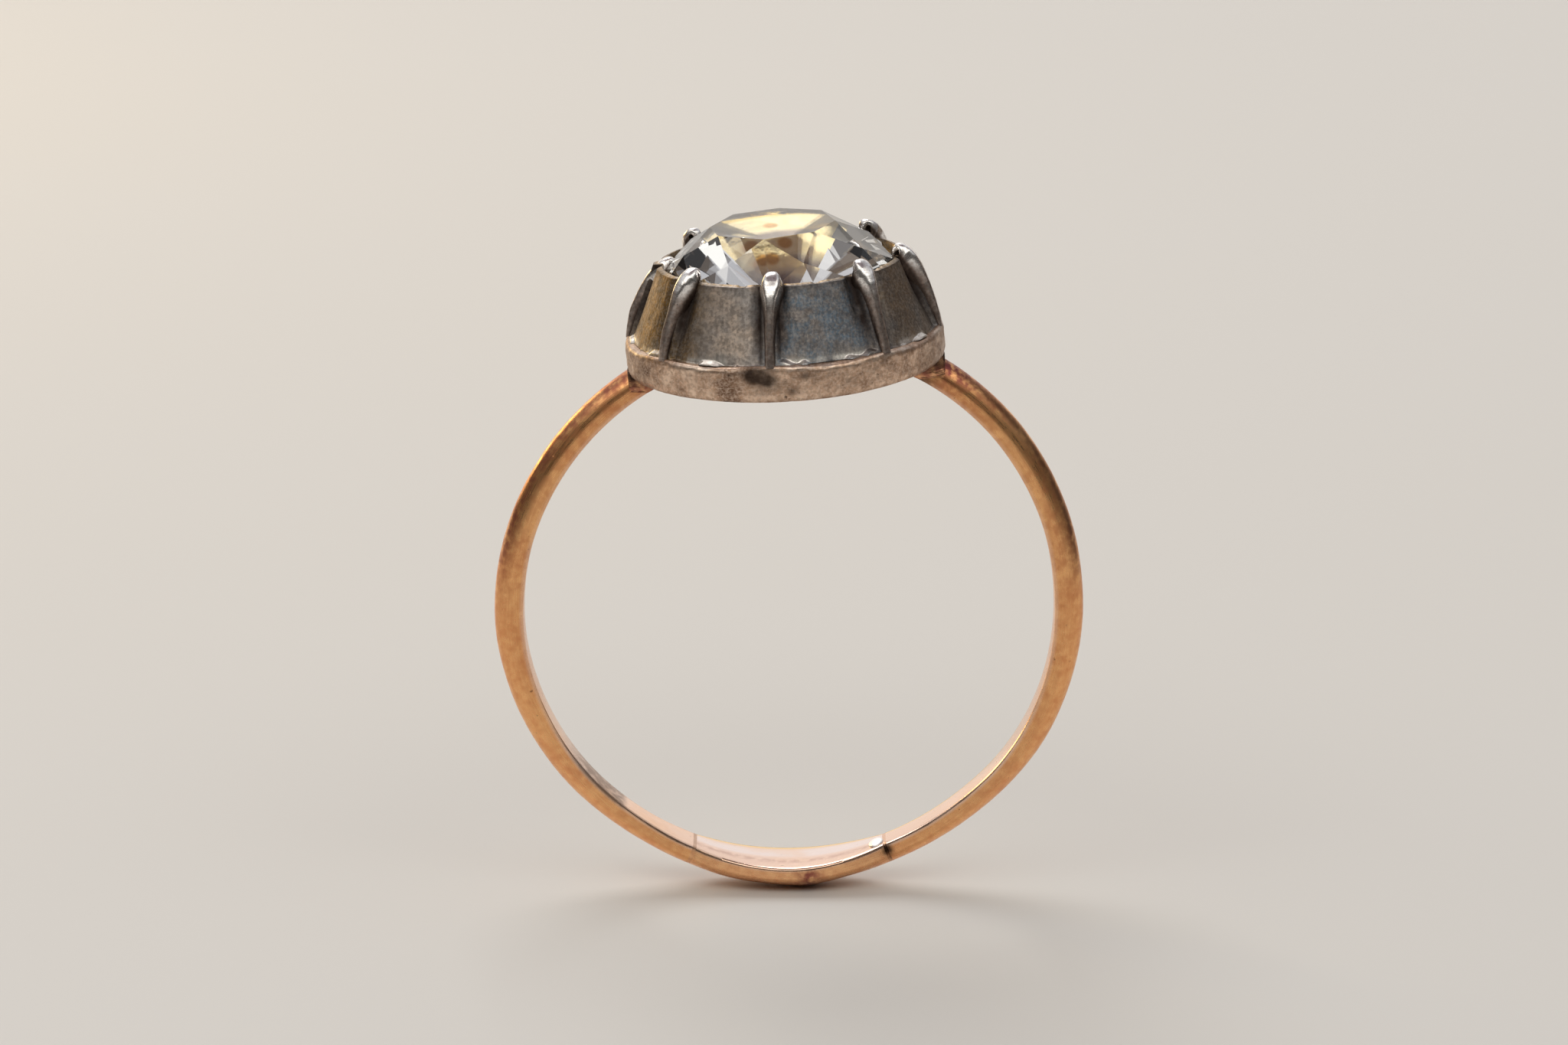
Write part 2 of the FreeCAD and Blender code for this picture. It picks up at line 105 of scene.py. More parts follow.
def polar(angle: Array, radius: Array) -> tuple[Array, Array]:
    """Both coordinates of points by their angle and radius."""
    radians = np.radians(angle)
    return radius * np.cos(radians), radius * np.sin(radians)


def round_y(angle: Array, side: Array, radius: Array) -> Array:
    """Points by their angle up from +X round the Y axis, their place along it and their radius."""
    x, z = polar(angle, radius)
    return np.stack([x, side, z], -1)


def ripple(x: Array, y: Array, seed: float, scale: float) -> Array:
    """Soft unevenness within about plus and minus one: a sum of sines in odd directions.

    Args:
        x: First parameter of the surface, in millimetres or radians.
        y: Second parameter, in the same unit.
        seed: Shifts every wave, so that no two pieces look alike.
        scale: Length of the longest wave.
    """
    total = np.zeros(np.broadcast(x, y).shape)
    for octave in range(4):
        turn = seed + 1.7 * octave
        rate = 2.0 * math.pi / scale * 1.9**octave
        total += np.sin(rate * (x * math.cos(turn) + y * math.sin(turn)) + 3.1 * turn) / 1.7**octave
    return total / 2.0


def resample(outline: Array, count: int, closed: bool = True) -> Array:
    """Points at even distances along a polyline.

    Args:
        outline: (n, 2) points.
        count: How many points to return.
        closed: Whether the last point joins the first.
    """
    path = np.vstack([outline, outline[:1]]) if closed else outline
    steps = np.hypot(*np.diff(path, axis=0).T)
    along = np.concatenate([[0.0], np.cumsum(steps)])
    wanted = np.linspace(0.0, along[-1], count, endpoint=not closed)
    return np.stack([np.interp(wanted, along, path[:, axis]) for axis in (0, 1)], 1)


def soften(outline: Array, passes: int) -> Array:
    """Round a closed outline: each pass moves a point halfway to the middle of its neighbours."""
    for _ in range(passes):
        outline = 0.5 * outline + 0.25 * (np.roll(outline, 1, 0) + np.roll(outline, -1, 0))
    return outline


# From grids of points to meshes -------------------------------------------------------------


@dataclass
class Skin:
    """A surface given as a grid of points, with a map and painted marks that follow it.

    Attributes:
        points: (rows, columns, 3) places in the ring's frame, millimetres.
        close_rows: Whether the last row joins the first.
        close_columns: Whether the last column joins the first.
        cap: Whether the first and last rows are each closed by a fan to their middle.
        marks: Values from 0 to 1 on the points, read by the finishes.
    """

    points: Array
    close_rows: bool = False
    close_columns: bool = True
    cap: bool = False
    marks: dict[str, Array] = field(default_factory=dict)

    def quads(self) -> Array:
        """Four corner numbers for each cell of the grid, wound so that faces look outwards."""
        rows, columns = self.points.shape[:2]
        numbers = np.arange(rows * columns).reshape(rows, columns)
        if self.close_rows:
            numbers = np.vstack([numbers, numbers[:1]])
        if self.close_columns:
            numbers = np.hstack([numbers, numbers[:, :1]])
        corners = (numbers[:-1, :-1], numbers[:-1, 1:], numbers[1:, 1:], numbers[1:, :-1])
        return np.stack(corners, -1).reshape(-1, 4)

    def fans(self) -> list[Array]:
        """Triangles that close the first and the last row, each round a middle point of its own."""
        rows, columns = self.points.shape[:2]
        ring = np.arange(columns)
        following = np.roll(ring, -1)
        first = np.stack([following, ring, np.full(columns, rows * columns)], 1)
        last_row = (rows - 1) * columns
        last = np.stack([last_row + ring, last_row + following, np.full(columns, rows * columns + 1)], 1)
        return [first, last]

    def map_corners(self) -> Array:
        """Map places of the quads' corners, in millimetres along the columns and the rows."""
        points = self.points
        along = np.linalg.norm(np.diff(points, axis=0, append=points[:1]), axis=2).mean(1)
        round_ = np.linalg.norm(np.diff(points, axis=1, append=points[:, :1]), axis=2).mean(0)
        v = np.concatenate([[0.0], np.cumsum(along)])
        u = np.concatenate([[0.0], np.cumsum(round_)])
        rows = len(v) - 1 if self.close_rows else len(v) - 2
        columns = len(u) - 1 if self.close_columns else len(u) - 2
        row, column = np.meshgrid(np.arange(rows), np.arange(columns), indexing="ij")
        corners = [(u[column + c], v[row + r]) for r, c in ((0, 0), (0, 1), (1, 1), (1, 0))]
        return np.stack([np.stack(corner, -1) for corner in corners], 2).reshape(-1, 2)

    def make(self, name: str, sharp: float = 50.0) -> bpy.types.Object:
        """Build the mesh object.

        Args:
            name: The piece's name.
            sharp: Edges that turn more than this many degrees stay crisp.

        Returns:
            The object, at the origin, unturned and unscaled.
        """
        points = self.points.reshape(-1, 3)
        quads = self.quads()
        faces = quads.tolist()
        uv = self.map_corners()
        if self.cap:
            points = np.vstack([points, self.points[0].mean(0), self.points[-1].mean(0)])
            first, last = self.fans()
            faces += first.tolist() + last.tolist()
            uv = np.vstack([uv, np.zeros((3 * (len(first) + len(last)), 2))])
        mesh = bpy.data.meshes.new(name)
        mesh.from_pydata((points * MM).tolist(), [], faces)
        mesh.uv_layers.new(name="along").data.foreach_set("uv", uv.astype(np.float32).ravel())
        for mark, values in self.marks.items():
            flat = np.broadcast_to(values, self.points.shape[:2]).ravel()
            padded = np.concatenate([flat, np.zeros(len(points) - len(flat))])
            layer = mesh.attributes.new(mark, "FLOAT", "POINT")
            layer.data.foreach_set("value", padded.astype(np.float32))
        return finish_mesh(name, mesh, sharp)


def finish_mesh(name: str, mesh: bpy.types.Mesh, sharp: float) -> bpy.types.Object:
    """Shade a mesh smooth with crisp edges, and put it in the scene as an object."""
    mesh.validate()
    mesh.shade_smooth()
    mesh.set_sharp_from_angle(angle=math.radians(sharp))
    return show(name, mesh)


def show(name: str, data: bpy.types.ID) -> bpy.types.Object:
    """Put a mesh, a lamp or a camera in the scene as an object."""
    shown = bpy.data.objects.new(name, data)
    bpy.context.scene.collection.objects.link(shown)
    return shown


def settle(piece: bpy.types.Object, material: bpy.types.Material, slot: str, *nodes: str) -> None:
    """Dress a finished piece, fix it to the ring and let it stand for its CAD nodes."""
    piece.data.materials.append(material)
    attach(piece, BODY)
    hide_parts(*nodes)
    low, high = piece.bound_box[0], piece.bound_box[6]
    size = [round((b - a) / MM, 2) for a, b in zip(low, high)]
    LOG.info("%s: %d faces, %s mm", piece.name, len(piece.data.polygons), size)


# Node materials -----------------------------------------------------------------------------


class Nodes:
    """A node tree in the making, with short calls for what the finishes and the room share."""

    def __init__(self, tree: bpy.types.NodeTree) -> None:
        """Start from an empty tree."""
        self.tree = tree
        tree.nodes.clear()

    def add(self, kind: str, **settings: object) -> bpy.types.Node:
        """Add a node and set its properties."""
        node = self.tree.nodes.new(kind)
        for name, value in settings.items():
            setattr(node, name, value)
        return node

    def feed(self, socket: bpy.types.NodeSocket, value: object) -> None:
        """Link a socket into another, or set a plain value on it."""
        if isinstance(value, bpy.types.NodeSocket):
            self.tree.links.new(value, socket)
        elif isinstance(value, tuple) and len(value) == 3 and len(socket.default_value) == 4:
            socket.default_value = (*value, 1.0)
        else:
            socket.default_value = value

    def span(self, value: object, low: float, high: float, to_low: float = 0.0,
             to_high: float = 1.0) -> bpy.types.NodeSocket:
        """Carry one range smoothly onto another, clamped."""
        node = self.add("ShaderNodeMapRange", interpolation_type="SMOOTHSTEP")
        for name, number in (("Value", value), ("From Min", low), ("From Max", high),
                             ("To Min", to_low), ("To Max", to_high)):
            self.feed(node.inputs[name], number)
        return node.outputs["Result"]

    def ramp(self, value: bpy.types.NodeSocket, stops: Stops) -> bpy.types.NodeSocket:
        """Colours by value."""
        node = self.add("ShaderNodeValToRGB")
        self.feed(node.inputs["Fac"], value)
        elements = node.color_ramp.elements
        while len(elements) < len(stops):
            elements.new(0.5)
        for element, (position, colour) in zip(elements, stops):
            element.position = position
            element.color = (*colour, 1.0)
        return node.outputs["Color"]

    def blend(self, share: object, first: object, second: object,
              kind: str = "MIX") -> bpy.types.NodeSocket:
        """Mix two colours by a share."""
        node = self.add("ShaderNodeMix", data_type="RGBA", blend_type=kind)
        self.feed(node.inputs[0], share)
        self.feed(node.inputs[6], first)
        self.feed(node.inputs[7], second)
        return node.outputs[2]


class Recipe(Nodes):
    """A node material in the making, whose patterns are measured in millimetres."""

    def __init__(self, name: str) -> None:
        """Start an empty material."""
        self.material = bpy.data.materials.new(name)
        self.material.use_nodes = True
        super().__init__(self.material.node_tree)
        self.place = self.mapping(self.add("ShaderNodeTexCoord").outputs["Object"], 1.0 / MM)
        self.along = self.add("ShaderNodeUVMap", uv_map="along").outputs["UV"]

    def mapping(self, source: bpy.types.NodeSocket, scale: float | Triple) -> bpy.types.NodeSocket:
        """Scale coordinates, evenly or by axis."""
        node = self.add("ShaderNodeMapping")
        self.feed(node.inputs["Vector"], source)
        node.inputs["Scale"].default_value = scale if isinstance(scale, tuple) else (scale,) * 3
        return node.outputs["Vector"]

    def noise(self, scale: float, detail: float = 4.0, stretch: Triple | None = None,
              mapped: bool = False, seed: float = 0.0) -> bpy.types.NodeSocket:
        """Noise with so many features to the millimetre.

        Args:
            scale: Features to the millimetre.
            detail: How many finer layers are added.
            stretch: Extra scale by axis, as for brushed metal.
            mapped: Whether it follows the piece's own map instead of its place.
            seed: Moves the pattern.
        """
        source = self.along if mapped else self.place
        if stretch:
            source = self.mapping(source, stretch)
        node = self.add("ShaderNodeTexNoise", noise_dimensions="4D")
        self.feed(node.inputs["Vector"], source)
        for name, value in (("W", seed), ("Scale", scale), ("Detail", detail)):
            node.inputs[name].default_value = value
        return node.outputs["Fac"]

    def away(self, x: float, y: float) -> bpy.types.NodeSocket:
        """Distance from an upright line, in millimetres."""
        node = self.add("ShaderNodeVectorMath", operation="DISTANCE")
        self.feed(node.inputs[0], self.mapping(self.place, (1.0, 1.0, 0.0)))
        node.inputs[1].default_value = (x, y, 0.0)
        return node.outputs["Value"]

    def mark(self, name: str) -> bpy.types.NodeSocket:
        """A mark painted on the piece's points."""
        return self.add("ShaderNodeAttribute", attribute_name=name).outputs["Fac"]

    def sum(self, operation: str, first: object, second: object) -> bpy.types.NodeSocket:
        """One step of arithmetic, kept between 0 and 1."""
        node = self.add("ShaderNodeMath", operation=operation, use_clamp=True)
        self.feed(node.inputs[0], first)
        self.feed(node.inputs[1], second)
        return node.outputs[0]

    def times(self, first: object, second: object) -> bpy.types.NodeSocket:
        """The product of two shares."""
        return self.sum("MULTIPLY", first, second)

    def coats(self, colour: object, *coats: tuple[object, object]) -> bpy.types.NodeSocket:
        """Lay colours over a ground one after another, each by its share."""
        for share, coat in coats:
            colour = self.blend(share, colour, coat)
        return colour

    def relief(self, height: bpy.types.NodeSocket, depth: float, strength: float = 1.0,
               under: bpy.types.NodeSocket | None = None) -> bpy.types.NodeSocket:
        """Bend the surface's normal by a height, whose full range is depth millimetres."""
        node = self.add("ShaderNodeBump")
        node.inputs["Strength"].default_value = strength
        node.inputs["Distance"].default_value = depth * MM
        self.feed(node.inputs["Height"], height)
        if under is not None:
            self.feed(node.inputs["Normal"], under)
        return node.outputs["Normal"]

    def surface(self, **inputs: object) -> bpy.types.Material:
        """Finish with one Principled shader, its inputs named with underscores for spaces."""
        shader = self.add("ShaderNodeBsdfPrincipled")
        for name, value in inputs.items():
            self.feed(shader.inputs[name.replace("_", " ")], value)
        output = self.add("ShaderNodeOutputMaterial")
        self.tree.links.new(shader.outputs[0], output.inputs["Surface"])
        return self.material


@dataclass(frozen=True)
class WornGold:
    """Red gold that has lost its shine to fine scratches and handling.

    Attributes:
        name: The material's name.
        clean: Colour where it is bare.
        toned: Colour where it has dulled.
        polished_sheen: Paler colour where it has been rubbed to a shine, a painted sheen.
        glint: Colour of the edge that catches yellow light.
        scorch_and_reflection, soot_and_shade, pit: Colours of firestain and painted reflection bands, of dirt and
        painted shade, and of the pits.
        gloss: Roughness of the smoothest and the roughest spots.
        grain, pit_depth: Depth of the scratches and of the pits, millimetres.
    """

    name: str
    clean: Colour = (0.98, 0.53, 0.23)
    toned: Colour = (0.78, 0.34, 0.14)
    polished_sheen: Colour = (0.93, 0.66, 0.52)
    glint: Colour = (1.0, 0.68, 0.20)
    scorch_and_reflection: Colour = (0.27, 0.075, 0.065)
    soot_and_shade: Colour = (0.055, 0.032, 0.022)
    pit: Colour = (0.16, 0.075, 0.04)
    gloss: tuple[float, float] = (0.20, 0.42)
    grain: float = 0.010
    pit_depth: float = 0.02

    def make(self) -> bpy.types.Material:
        """Build the material; marks polish, glint, scorch_and_reflection and soot_and_shade steer it over the piece.
        """
        recipe = Recipe(self.name)
        span, times, mark = recipe.span, recipe.times, recipe.mark
        cloud = recipe.noise(0.55, 5.0, seed=1.0)
        mottle = recipe.noise(4.0, 6.0, seed=2.0)
        brushed = recipe.noise(3.0, 5.0, stretch=(9.0, 0.35, 1.0), mapped=True, seed=3.0)
        hair = recipe.noise(8.0, 2.0, stretch=(5.0, 0.22, 1.0), mapped=True, seed=4.0)
        pits = span(recipe.noise(7.5, 2.0, seed=5.0), 0.70, 0.78)
        polish = mark("polish")
        dull = times(span(recipe.blend(0.5, cloud, mottle), 0.38, 0.66), span(polish, 0.0, 1.0, 1.0, 0.25))
        soot_and_shade = times(mark("soot_and_shade"), span(mottle, 0.22, 0.55, 0.55, 1.0))
        colour = recipe.coats(
            self.clean,
            (dull, self.toned),
            (span(brushed, 0.35, 0.75, 0.0, 0.35), self.toned),
            # Paler where rubbed to a shine: a painted sheen.
            (times(polish, span(cloud, 0.3, 0.6, 0.6, 1.0)), self.polished_sheen),
            (mark("glint"), self.glint),
            (times(mark("scorch_and_reflection"), span(mottle, 0.30, 0.62)), self.scorch_and_reflection),
            (soot_and_shade, self.soot_and_shade),
            (times(pits, 0.6), self.pit),
        )
        rough = span(recipe.blend(0.6, mottle, brushed), 0.3, 0.7, *self.gloss)
        rough = recipe.sum("SUBTRACT", rough, span(polish, 0.0, 1.0, 0.0, 0.14))
        rough = recipe.sum("ADD", rough, times(soot_and_shade, 0.25))
        fine = recipe.relief(recipe.blend(0.5, brushed, hair), self.grain, 0.35)
        sunk = recipe.relief(recipe.sum("SUBTRACT", 1.0, pits), self.pit_depth, 0.4, fine)
        return recipe.surface(Base_Color=colour, Metallic=1.0, Roughness=rough, Normal=sunk)


@dataclass(frozen=True)
class OldSilver:
    """Silver darkened in its hollows, by tarnish and by painted shade, and rubbed bright on its edges.

    Attributes:
        name: The material's name.
        bare: Colour where it is rubbed bright.
        tones: Colours of the tarnish, from thin to thick.
        tint: Colour of the film that plays over the flat parts.
        film: How strong that film is.
        dust, shade: Colours of the fine light and dark grains in the tarnish.
        pale, soot_and_shade, pit: Colours of one panel made paler, of dirt and painted shade, and of the pits.
        warm_reflection: Colours of a painted warm reflection, from faint to strong.
        gloss: Roughness of the smoothest and the roughest spots.
        brush: Stretch of the scratches across and along the piece's map.
        grain, pit_depth: Depth of the scratches and of the pits, millimetres.
        pitting: How many of the pits show, from 0 to 1.
    """

    name: str
    bare: Colour = (0.88, 0.83, 0.76)
    tones: Stops = ((0.32, (0.33, 0.28, 0.25)), (0.52, (0.19, 0.165, 0.15)), (0.70, (0.09, 0.075, 0.07)))
    warm_reflection: Stops = ((0.35, (0.36, 0.21, 0.055)), (0.65, (0.15, 0.10, 0.045)))
    tint: Colour = (0.17, 0.23, 0.29)
    film: float = 0.5
    dust: Colour = (0.42, 0.37, 0.33)
    shade: Colour = (0.075, 0.062, 0.058)
    pale: Colour = (0.74, 0.60, 0.49)
    soot_and_shade: Colour = (0.040, 0.026, 0.020)
    pit: Colour = (0.045, 0.030, 0.022)
    gloss: tuple[float, float] = (0.36, 0.58)
    brush: Triple = (7.0, 1.0, 1.0)
    grain: float = 0.010
    pit_depth: float = 0.03
    pitting: float = 0.4

    def make(self) -> bpy.types.Material:
        """Build the material; marks wear, soot_and_shade, pale, film and warm_reflection steer it over the piece."""
        recipe = Recipe(self.name)
        span, times, mark = recipe.span, recipe.times, recipe.mark
        cloud = recipe.noise(0.8, 5.0, seed=11.0)
        patch = recipe.noise(2.2, 6.0, seed=12.0)
        speck = recipe.noise(13.0, 5.0, seed=13.0)
        brushed = recipe.noise(2.6, 6.0, stretch=self.brush, mapped=True, seed=14.0)
        scratch = span(recipe.noise(4.0, 3.0, stretch=self.brush, mapped=True, seed=15.0), 0.60, 0.70)
        pits = span(recipe.noise(6.0, 3.0, seed=16.0), 0.74 - 0.12 * self.pitting, 0.80)
        film = times(span(recipe.noise(1.1, 5.0, seed=17.0), 0.40, 0.62), self.film)
        film = recipe.sum("MAXIMUM", film, times(mark("film"), span(patch, 0.35, 0.6)))
        wear = times(mark("wear"), span(speck, 0.30, 0.60, 0.55, 1.0))
        soot_and_shade = times(mark("soot_and_shade"), span(patch, 0.30, 0.55, 0.75, 1.0))
        colour = recipe.coats(
            recipe.ramp(recipe.blend(0.45, cloud, patch), self.tones),
            (times(mark("pale"), span(cloud, 0.3, 0.55, 0.65, 1.0)), self.pale),
            (film, self.tint),
            (mark("warm_reflection"), recipe.ramp(patch, self.warm_reflection)),
            (span(speck, 0.40, 0.62, 0.0, 0.5), self.dust),
            (span(recipe.noise(8.0, 6.0, seed=18.0), 0.42, 0.60, 0.0, 0.4), self.shade),
            (times(scratch, 0.6), self.dust),
            (wear, self.bare),
            (soot_and_shade, self.soot_and_shade),
            (times(pits, 0.8), self.pit),
        )
        rough = span(recipe.blend(0.5, patch, brushed), 0.3, 0.7, *self.gloss)
        rough = recipe.sum("SUBTRACT", rough, times(wear, 0.12))
        rough = recipe.sum("ADD", rough, times(soot_and_shade, 0.2))
        lines = recipe.relief(recipe.blend(0.4, brushed, speck), self.grain, 0.5)
        sunk = recipe.relief(recipe.sum("SUBTRACT", 1.0, pits), self.pit_depth, 0.5, lines)
        return recipe.surface(Base_Color=colour, Metallic=1.0, Roughness=rough, Normal=sunk)


@dataclass(frozen=True)
class FoilFinish:
    """Thin crumpled foil, brown in the middle of its well and gold further out.

    Attributes:
        name: The material's name.
        gold, brown: Each one's lighter and darker colour.
        rim: Colour near its outer edge.
        orange_spot, spot_place: Colour of a darker orange spot, and where it lies.
    """

    name: str = "gold foil"
    gold: tuple[Colour, Colour] = ((0.98, 0.84, 0.52), (0.90, 0.70, 0.36))
    brown: tuple[Colour, Colour] = ((0.30, 0.23, 0.19), (0.17, 0.13, 0.11))
    rim: Colour = (0.90, 0.64, 0.16)
    orange_spot: Colour = (0.62, 0.30, 0.04)
    spot_place: tuple[float, float] = (-0.5, 1.9)

    def make(self) -> bpy.types.Material:
        """Build the material; its colour changes with the distance from the upright axis."""
        recipe = Recipe(self.name)
        mottle = recipe.noise(1.8, 5.0, seed=21.0)
        distance = recipe.away(0.0, 0.0)
        colour = recipe.coats(
            recipe.blend(recipe.span(mottle, 0.35, 0.65), *self.brown),
            (recipe.span(distance, 1.15, 1.65), recipe.blend(recipe.span(mottle, 0.35, 0.7), *self.gold)),
            (recipe.span(distance, 2.75, 3.0), self.rim),
            (recipe.span(recipe.away(*self.spot_place), 0.16, 0.30, 0.9, 0.0), self.orange_spot),
        )
        crumple = recipe.relief(recipe.noise(2.4, 3.0, seed=22.0), 0.06, 0.15)
        return recipe.surface(Base_Color=colour, Metallic=1.0, Roughness=0.13, Normal=crumple)


@dataclass(frozen=True)
class StoneFinish:
    """Clear colourless crystal with faintly worn facets."""

    name: str = "clear stone"
    refraction: float = 1.55

    def make(self) -> bpy.types.Material:
        """Build the material: smooth glass with a trace of rubbing."""
        recipe = Recipe(self.name)
        rub = recipe.span(recipe.noise(3.0, 5.0, seed=31.0), 0.5, 0.75, 0.0, 0.03)
        return recipe.surface(Base_Color=(0.985, 0.98, 0.965), Roughness=rub, IOR=self.refraction,
                              Transmission_Weight=1.0)


# Shank --------------------------------------------------------------------------------------


@dataclass(frozen=True)
class HeadSeat:
    """Where the head stands on the shank.

    Attributes:
        height: From the centre of the finger hole up to the head's underside.
        tilt: How far the head leans, its +X side up.
        shift: How far it stands to +X.
    """

    height: float = 8.0
    tilt: float = 3.3
    shift: float = -0.13

    def to_ring(self, points: Array) -> Array:
        """Carry points from the head's frame: tilt about Y, then lift and shift."""
        a = math.radians(self.tilt)
        x, y, z = np.moveaxis(points, -1, 0)
        return np.stack([x * math.cos(a) - z * math.sin(a) + self.shift, y,
                         x * math.sin(a) + z * math.cos(a) + self.height], -1)

    def to_head(self, points: Array) -> Array:
        """Carry points from the ring's frame back to the head's."""
        a = math.radians(self.tilt)
        x, y, z = np.moveaxis(points, -1, 0)
        x, z = x - self.shift, z - self.height
        return np.stack([x * math.cos(a) + z * math.sin(a), y, z * math.cos(a) - x * math.sin(a)], -1)


class Side(Enum):
    """A side of the ring, by the sign of X."""

    LEFT = -1
    RIGHT = 1


@dataclass
class Shank:
    """The gold part of the ring: two old arms, the insert between them, and its seams.

    Attributes:
        seat: Where the head stands.
        finger_radius: Radius of the finger hole.
        thickness: From the hole to the crown of the half-round section, where it is unworn.
        edge: Height of the section's flat flanks.
        half_width: Half the width of the arms.
        insert_half_width: Half the width of the insert's middle.
        insert_half: Half the angle that the insert spans.
        seam: Thickness of a solder seam.
        dome_radius, dome: Radius and depth of the head's domed underside.
        bends: How far the hand-bent shank strays from the finger hole's circle, by the angle.
        worn: Thickness by the angle.
        bend_reach, worn_reach: How many degrees each of those values reaches.
        knees: Swellings of the bent bottom: the angle, the width there and the height.
        dent: Depth of the soft dents.
        core: Height of the section's middle, from which it swells.
        stations, around: Rows along an arm, and points round the section.
    """

    seat: HeadSeat
    finger_radius: float = 8.6
    thickness: float = 0.88
    edge: float = 0.42
    half_width: float = 0.625
    insert_half_width: float = 1.2
    insert_half: float = 20.6
    seam: float = 0.12
    dome_radius: float = 4.47
    dome: float = 0.40
    bends: Knots = (
        (0.0, -0.10), (24.0, -0.06), (48.0, -0.02), (90.0, -0.05), (138.0, -0.19), (152.0, -0.14),
        (170.0, -0.06), (192.0, 0.01), (215.0, 0.0), (240.0, -0.04), (256.0, 0.03), (272.0, 0.04),
        (288.0, -0.07), (306.0, -0.10), (328.0, -0.02), (345.0, -0.03))
    worn: Knots = (
        (0.0, 0.96), (24.0, 0.92), (50.0, 0.90), (90.0, 0.90), (130.0, 0.90), (156.0, 0.93),
        (180.0, 0.97), (204.0, 0.90), (222.0, 0.82), (240.0, 0.76), (270.0, 0.82), (300.0, 0.78),
        (314.0, 0.80), (336.0, 0.89))
    bend_reach: float = 13.0
    worn_reach: float = 14.0
    knees: tuple[Triple, ...] = ((273.5, 3.0, 0.075), (264.0, 4.5, -0.03), (282.0, 4.5, -0.03))
    dent: float = 0.008
    core: float = 0.4
    stations: int = 420
    around: int = 72

    @property
    def seam_angle(self) -> float:
        """Angle that a solder seam spans."""
        return math.degrees(self.seam / self.finger_radius)

    def outline(self) -> Array:
        """The half-round section's outline, anticlockwise from the hole's side.

        The inner face bulges a little, the flanks stand up to the edge height and a circular
        arc joins them over the crown; the whole outline is then softened at its corners.

        Returns:
            (around, 3): the place across from -1 to 1, the share of the edge's height, and the
            share of the crown's rise above the edge.
        """
        half, edge = self.half_width, self.edge
        rise = self.thickness - edge
        radius = (half**2 + rise**2) / (2.0 * rise)
        sweep = math.asin(half / radius)
        arc = np.linspace(sweep, -sweep, 60)
        inner = np.linspace(-half, half, 40)
        flank = np.linspace(0.0, edge, 14)[1:-1]
        corners = np.vstack([
            np.stack([inner, 0.02 * (inner / half) ** 2], 1),
            np.stack([np.full(12, half), flank], 1),
            np.stack([radius * np.sin(arc), self.thickness - radius + radius * np.cos(arc)], 1),
            np.stack([np.full(12, -half), flank[::-1]], 1),
        ])
        points = resample(soften(resample(corners, 240), 14), self.around)
        across, height = points.T
        return np.stack([across / half, np.minimum(height, edge) / edge, np.maximum(height - edge, 0.0) / rise], 1)

    def half_width_at(self, angle: Array) -> Array:
        """Half the shank's width: the arms' own, and over the insert a bow to its greater one.

        The bow is one minus the square of the sine of the angle from the bottom over the sine
        of the insert's half angle, and the shank stays a little wider about the left seam.
        """
        off = (angle + 270.0) % 360.0 - 180.0
        bow = 1.0 - (np.sin(np.radians(off)) / math.sin(math.radians(self.insert_half))) ** 2
        near = np.abs(off) < self.insert_half
        bowed = (self.insert_half_width - self.half_width) * np.where(near, bow, 0.0)
        return self.half_width + bowed + 0.16 * bump(off, -21.0, 8.0)

    def place(self, angle: Array, swell: Array | float = 0.0) -> Array:
        """Carry the section round the finger hole, each fibre to an angle of its own.

        Args:
            angle: (..., around) degrees up from +X.
            swell: How far each point is pushed outwards from the section's middle.

        Returns:
            (..., around, 3) points.
        """
        across, low, high = self.outline().T
        along = np.radians(angle) * self.finger_radius
        girth = np.linspace(0.0, 6.0, self.around)
        dents = self.dent * ripple(along, girth, 2.0, 5.0) * ease(low, 0.2, 0.9)
        knee = sum(height * bump(angle, middle, width) for middle, width, height in self.knees)
        rise = settle_between(angle, self.worn, self.worn_reach) + knee - self.edge
        side = across * self.half_width_at(angle)
        height = self.edge * low + rise * high + dents
        above = height - self.core
        length = np.maximum(np.hypot(side, above), 0.1)
        radius = self.hole_radius(angle) + (height + swell * above / length)
        return round_y(angle, side + swell * side / length, radius)

    def hole_radius(self, angle: Array) -> Array:
        """Radius of the bent shank's inside, by the angle."""
        return self.finger_radius + settle_between(angle, self.bends, self.bend_reach)

    def turn_to(self, side: Side, upward: Array) -> Array:
        """The angle on one side of the ring for an angle up from the horizontal."""
        return upward if side is Side.RIGHT else 180.0 - upward

    def above_underside(self, points: Array) -> Array:
        """Height of points over the head's underside: flat at the rim, domed down within it."""
        x, y, z = np.moveaxis(self.seat.to_head(points), -1, 0)
        share = np.clip(np.hypot(x, y) / self.dome_radius, 0.0, 1.0)
        return z + self.dome * (1.0 - share**2)

    def head_angle(self, side: Side) -> Array:
        """The angle up at which each fibre of an arm meets the head, found by halving."""
        low, high = np.full(self.around, 35.0), np.full(self.around, 84.0)
        for _ in range(30):
            middle = (low + high) / 2.0
            below = self.above_underside(self.place(self.turn_to(side, middle))) < 0.0
            low, high = np.where(below, middle, low), np.where(below, high, middle)
        return low

    def inner_face(self) -> Array:
        """How far each fibre belongs to the face that touches the finger, from 0 to 1."""
        return 1.0 - ease(self.outline()[:, 1], 0.10, 0.45)

    def build_piece(self, name: str, slot: str, points: Array, flip: bool, marks: dict[str, Array],
                    material: bpy.types.Material) -> None:
        """Skin one stretch of the shank, wound outwards, and dress it.

        Args:
            name: The CAD node that it stands for.
            slot: Not used.
            points: Its grid of points.
            flip: Whether the rows run clockwise, so that the columns must turn round.
            marks: The painted marks on its points.
            material: Its finish.
        """
        full = {mark: np.broadcast_to(value, points.shape[:2]) for mark, value in marks.items()}
        if flip:
            points, full = points[:, ::-1], {mark: value[:, ::-1] for mark, value in full.items()}
        settle(Skin(points, cap=True, marks=full).make(f"{name}_look"), material, slot, name)

